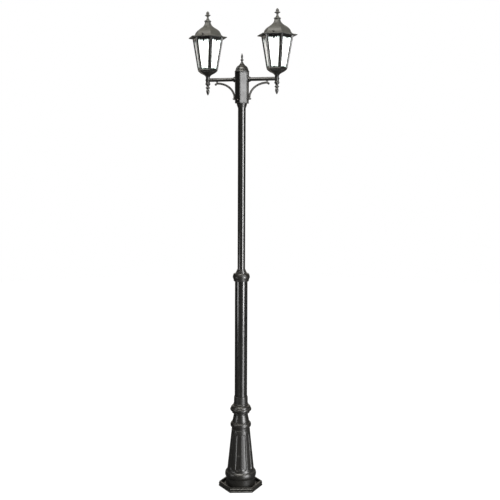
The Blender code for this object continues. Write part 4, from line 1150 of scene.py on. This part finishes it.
def make_finial(side, x, body):
    outline = [
        (0.0001, -0.006), (0.0038, -0.006), (0.0038, 0.0003), (0.018, 0.0003, 0.0004),
        (0.02, 0.0012, 0.0008), (0.0205, 0.0034, 0.001), (0.0196, 0.0058, 0.001),
        (0.0158, 0.0074, 0.0008), (0.015, 0.0084, 0.0006),
        *spline([(0.0128, 0.0098), (0.0102, 0.0124), (0.008, 0.0158), (0.0064, 0.02), (0.0057, 0.0248),
                 (0.0062, 0.0284), (0.008, 0.031), (0.0118, 0.033), (0.0158, 0.0348), (0.0175, 0.037),
                 (0.016, 0.0392), (0.012, 0.0404), (0.0088, 0.042), (0.008, 0.0438), (0.009, 0.0466),
                 (0.0094, 0.0492), (0.0084, 0.0524), (0.0062, 0.0558), (0.0034, 0.0588),
                 (0.001, 0.0602)], 4),
    ]
    points = filleted(outline, closed=False, default=0.0003)
    rings = []
    for r, z in points:
        lobe = max(0.0, 1 - abs(z - 0.037) / 0.0065)
        ring = []
        for k in range(72):
            a = tau * k / 72
            petal = 1 - 0.34 * lobe * (0.5 + 0.5 * cos(6 * a + pi)) ** 1.4
            ring.append(Vector((r * petal * cos(a), r * petal * sin(a), z)))
        rings.append(ring)
    mesh = place_mesh(skin(rings, closed=False), (x, 0, CROWN_Z + 0.093))
    finish_piece(f"roof_spire_{side}", mesh, "roof", body, f"roof_finial_{side}")


def make_lamp(side, x):
    place = (x, 0, HOLDER_BASE)
    holder = [
        (0.0054, 0), (0.0178, 0, 0.001), (0.0205, 0.008, 0.002), (0.0205, 0.038, 0.0008),
        (0.0198, 0.0395, 0.0004), (0.0205, 0.041, 0.0004), (0.0203, 0.045, 0.001),
        (0.019, 0.052, 0.0012), (0.0146, 0.052, 0.0008), (0.0146, 0.018), (0.0054, 0.012),
    ]
    mesh = turned_mesh(holder, 56, place=place)
    finish_piece(f"holder_{side}", mesh, "ceramic", "head", f"lamp_holder_{side}")
    body = f"bulb_{side}"
    threads = []
    for i in range(7):
        z = 0.0285 + 0.003 * i
        threads += [(0.0125, z, 0.0004), (0.0131, z + 0.0015, 0.0006)]
    cap = [(0, 0.0195), (0.0045, 0.0195), (0.0095, 0.0235), (0.0125, 0.0258), *threads, (0.0131, 0.05),
           (0, 0.05)]
    mesh = turned_mesh(cap, 48, place=place, fillet=0.0003)
    finish_piece(f"bulb_thread_{side}", mesh, "zinc", body, f"bulb_cap_{side}")
    glass = [(0, 0.0503), (0.0128, 0.0503, 0.0005)]
    glass += spline([(0.0136, 0.053), (0.015, 0.059), (0.0188, 0.068), (0.0252, 0.079), (0.0288, 0.0885),
                     (0.0295, 0.096), (0.028, 0.106), (0.0236, 0.115), (0.016, 0.1216), (0.007, 0.1242),
                     (0.0012, 0.1245)], 4)
    mesh = turned_mesh(glass, 56, place=place, fillet=0.0)
    finish_piece(f"bulb_envelope_{side}", mesh, "bulb", body, f"bulb_glass_{side}")


# CAD nodes that are right as they are

def dress(nodes, look):
    for node in nodes:
        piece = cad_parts[node]
        piece.data.materials.clear()
        piece.data.materials.append(LOOKS[look])


def dress_cad():
    dress(["foot_screw_1", "foot_screw_2", "foot_screw_3", "door_strap", "gear_plate", "neck_set_screw",
           "collar_set_screw", "hinge_pin_left", "hinge_pin_right"], "zinc")
    dress(["terminal_block"], "plastic")
    dress(["cable_connector"], "ceramic")
    dress(["nipple_left", "nipple_right"], "brass")
    dress(["pole_cable", "arm_lead_left", "arm_lead_right"], "sheath")


def main():
    make_stage()
    make_plinth()
    make_pedestal()
    make_neck()
    make_tube("lower_tube_drawn", "lower_tube", LOWER_TUBE_RADIUS, 0.4318, 1.298)
    make_mid_collar()
    make_tube("upper_tube_drawn", "upper_tube", UPPER_TUBE_RADIUS, 1.2455, 2.345)
    make_head()
    for side, sign in SIDES.items():
        x = sign * ARM_REACH
        make_arm(side, sign)
        make_bracket(side, sign)
        make_socket(side, sign)
        make_tray(side, x)
        make_cage(side, x)
        make_diffuser(side, x)
        make_roof(side, x)
        make_lamp(side, x)
    dress_cad()


main()
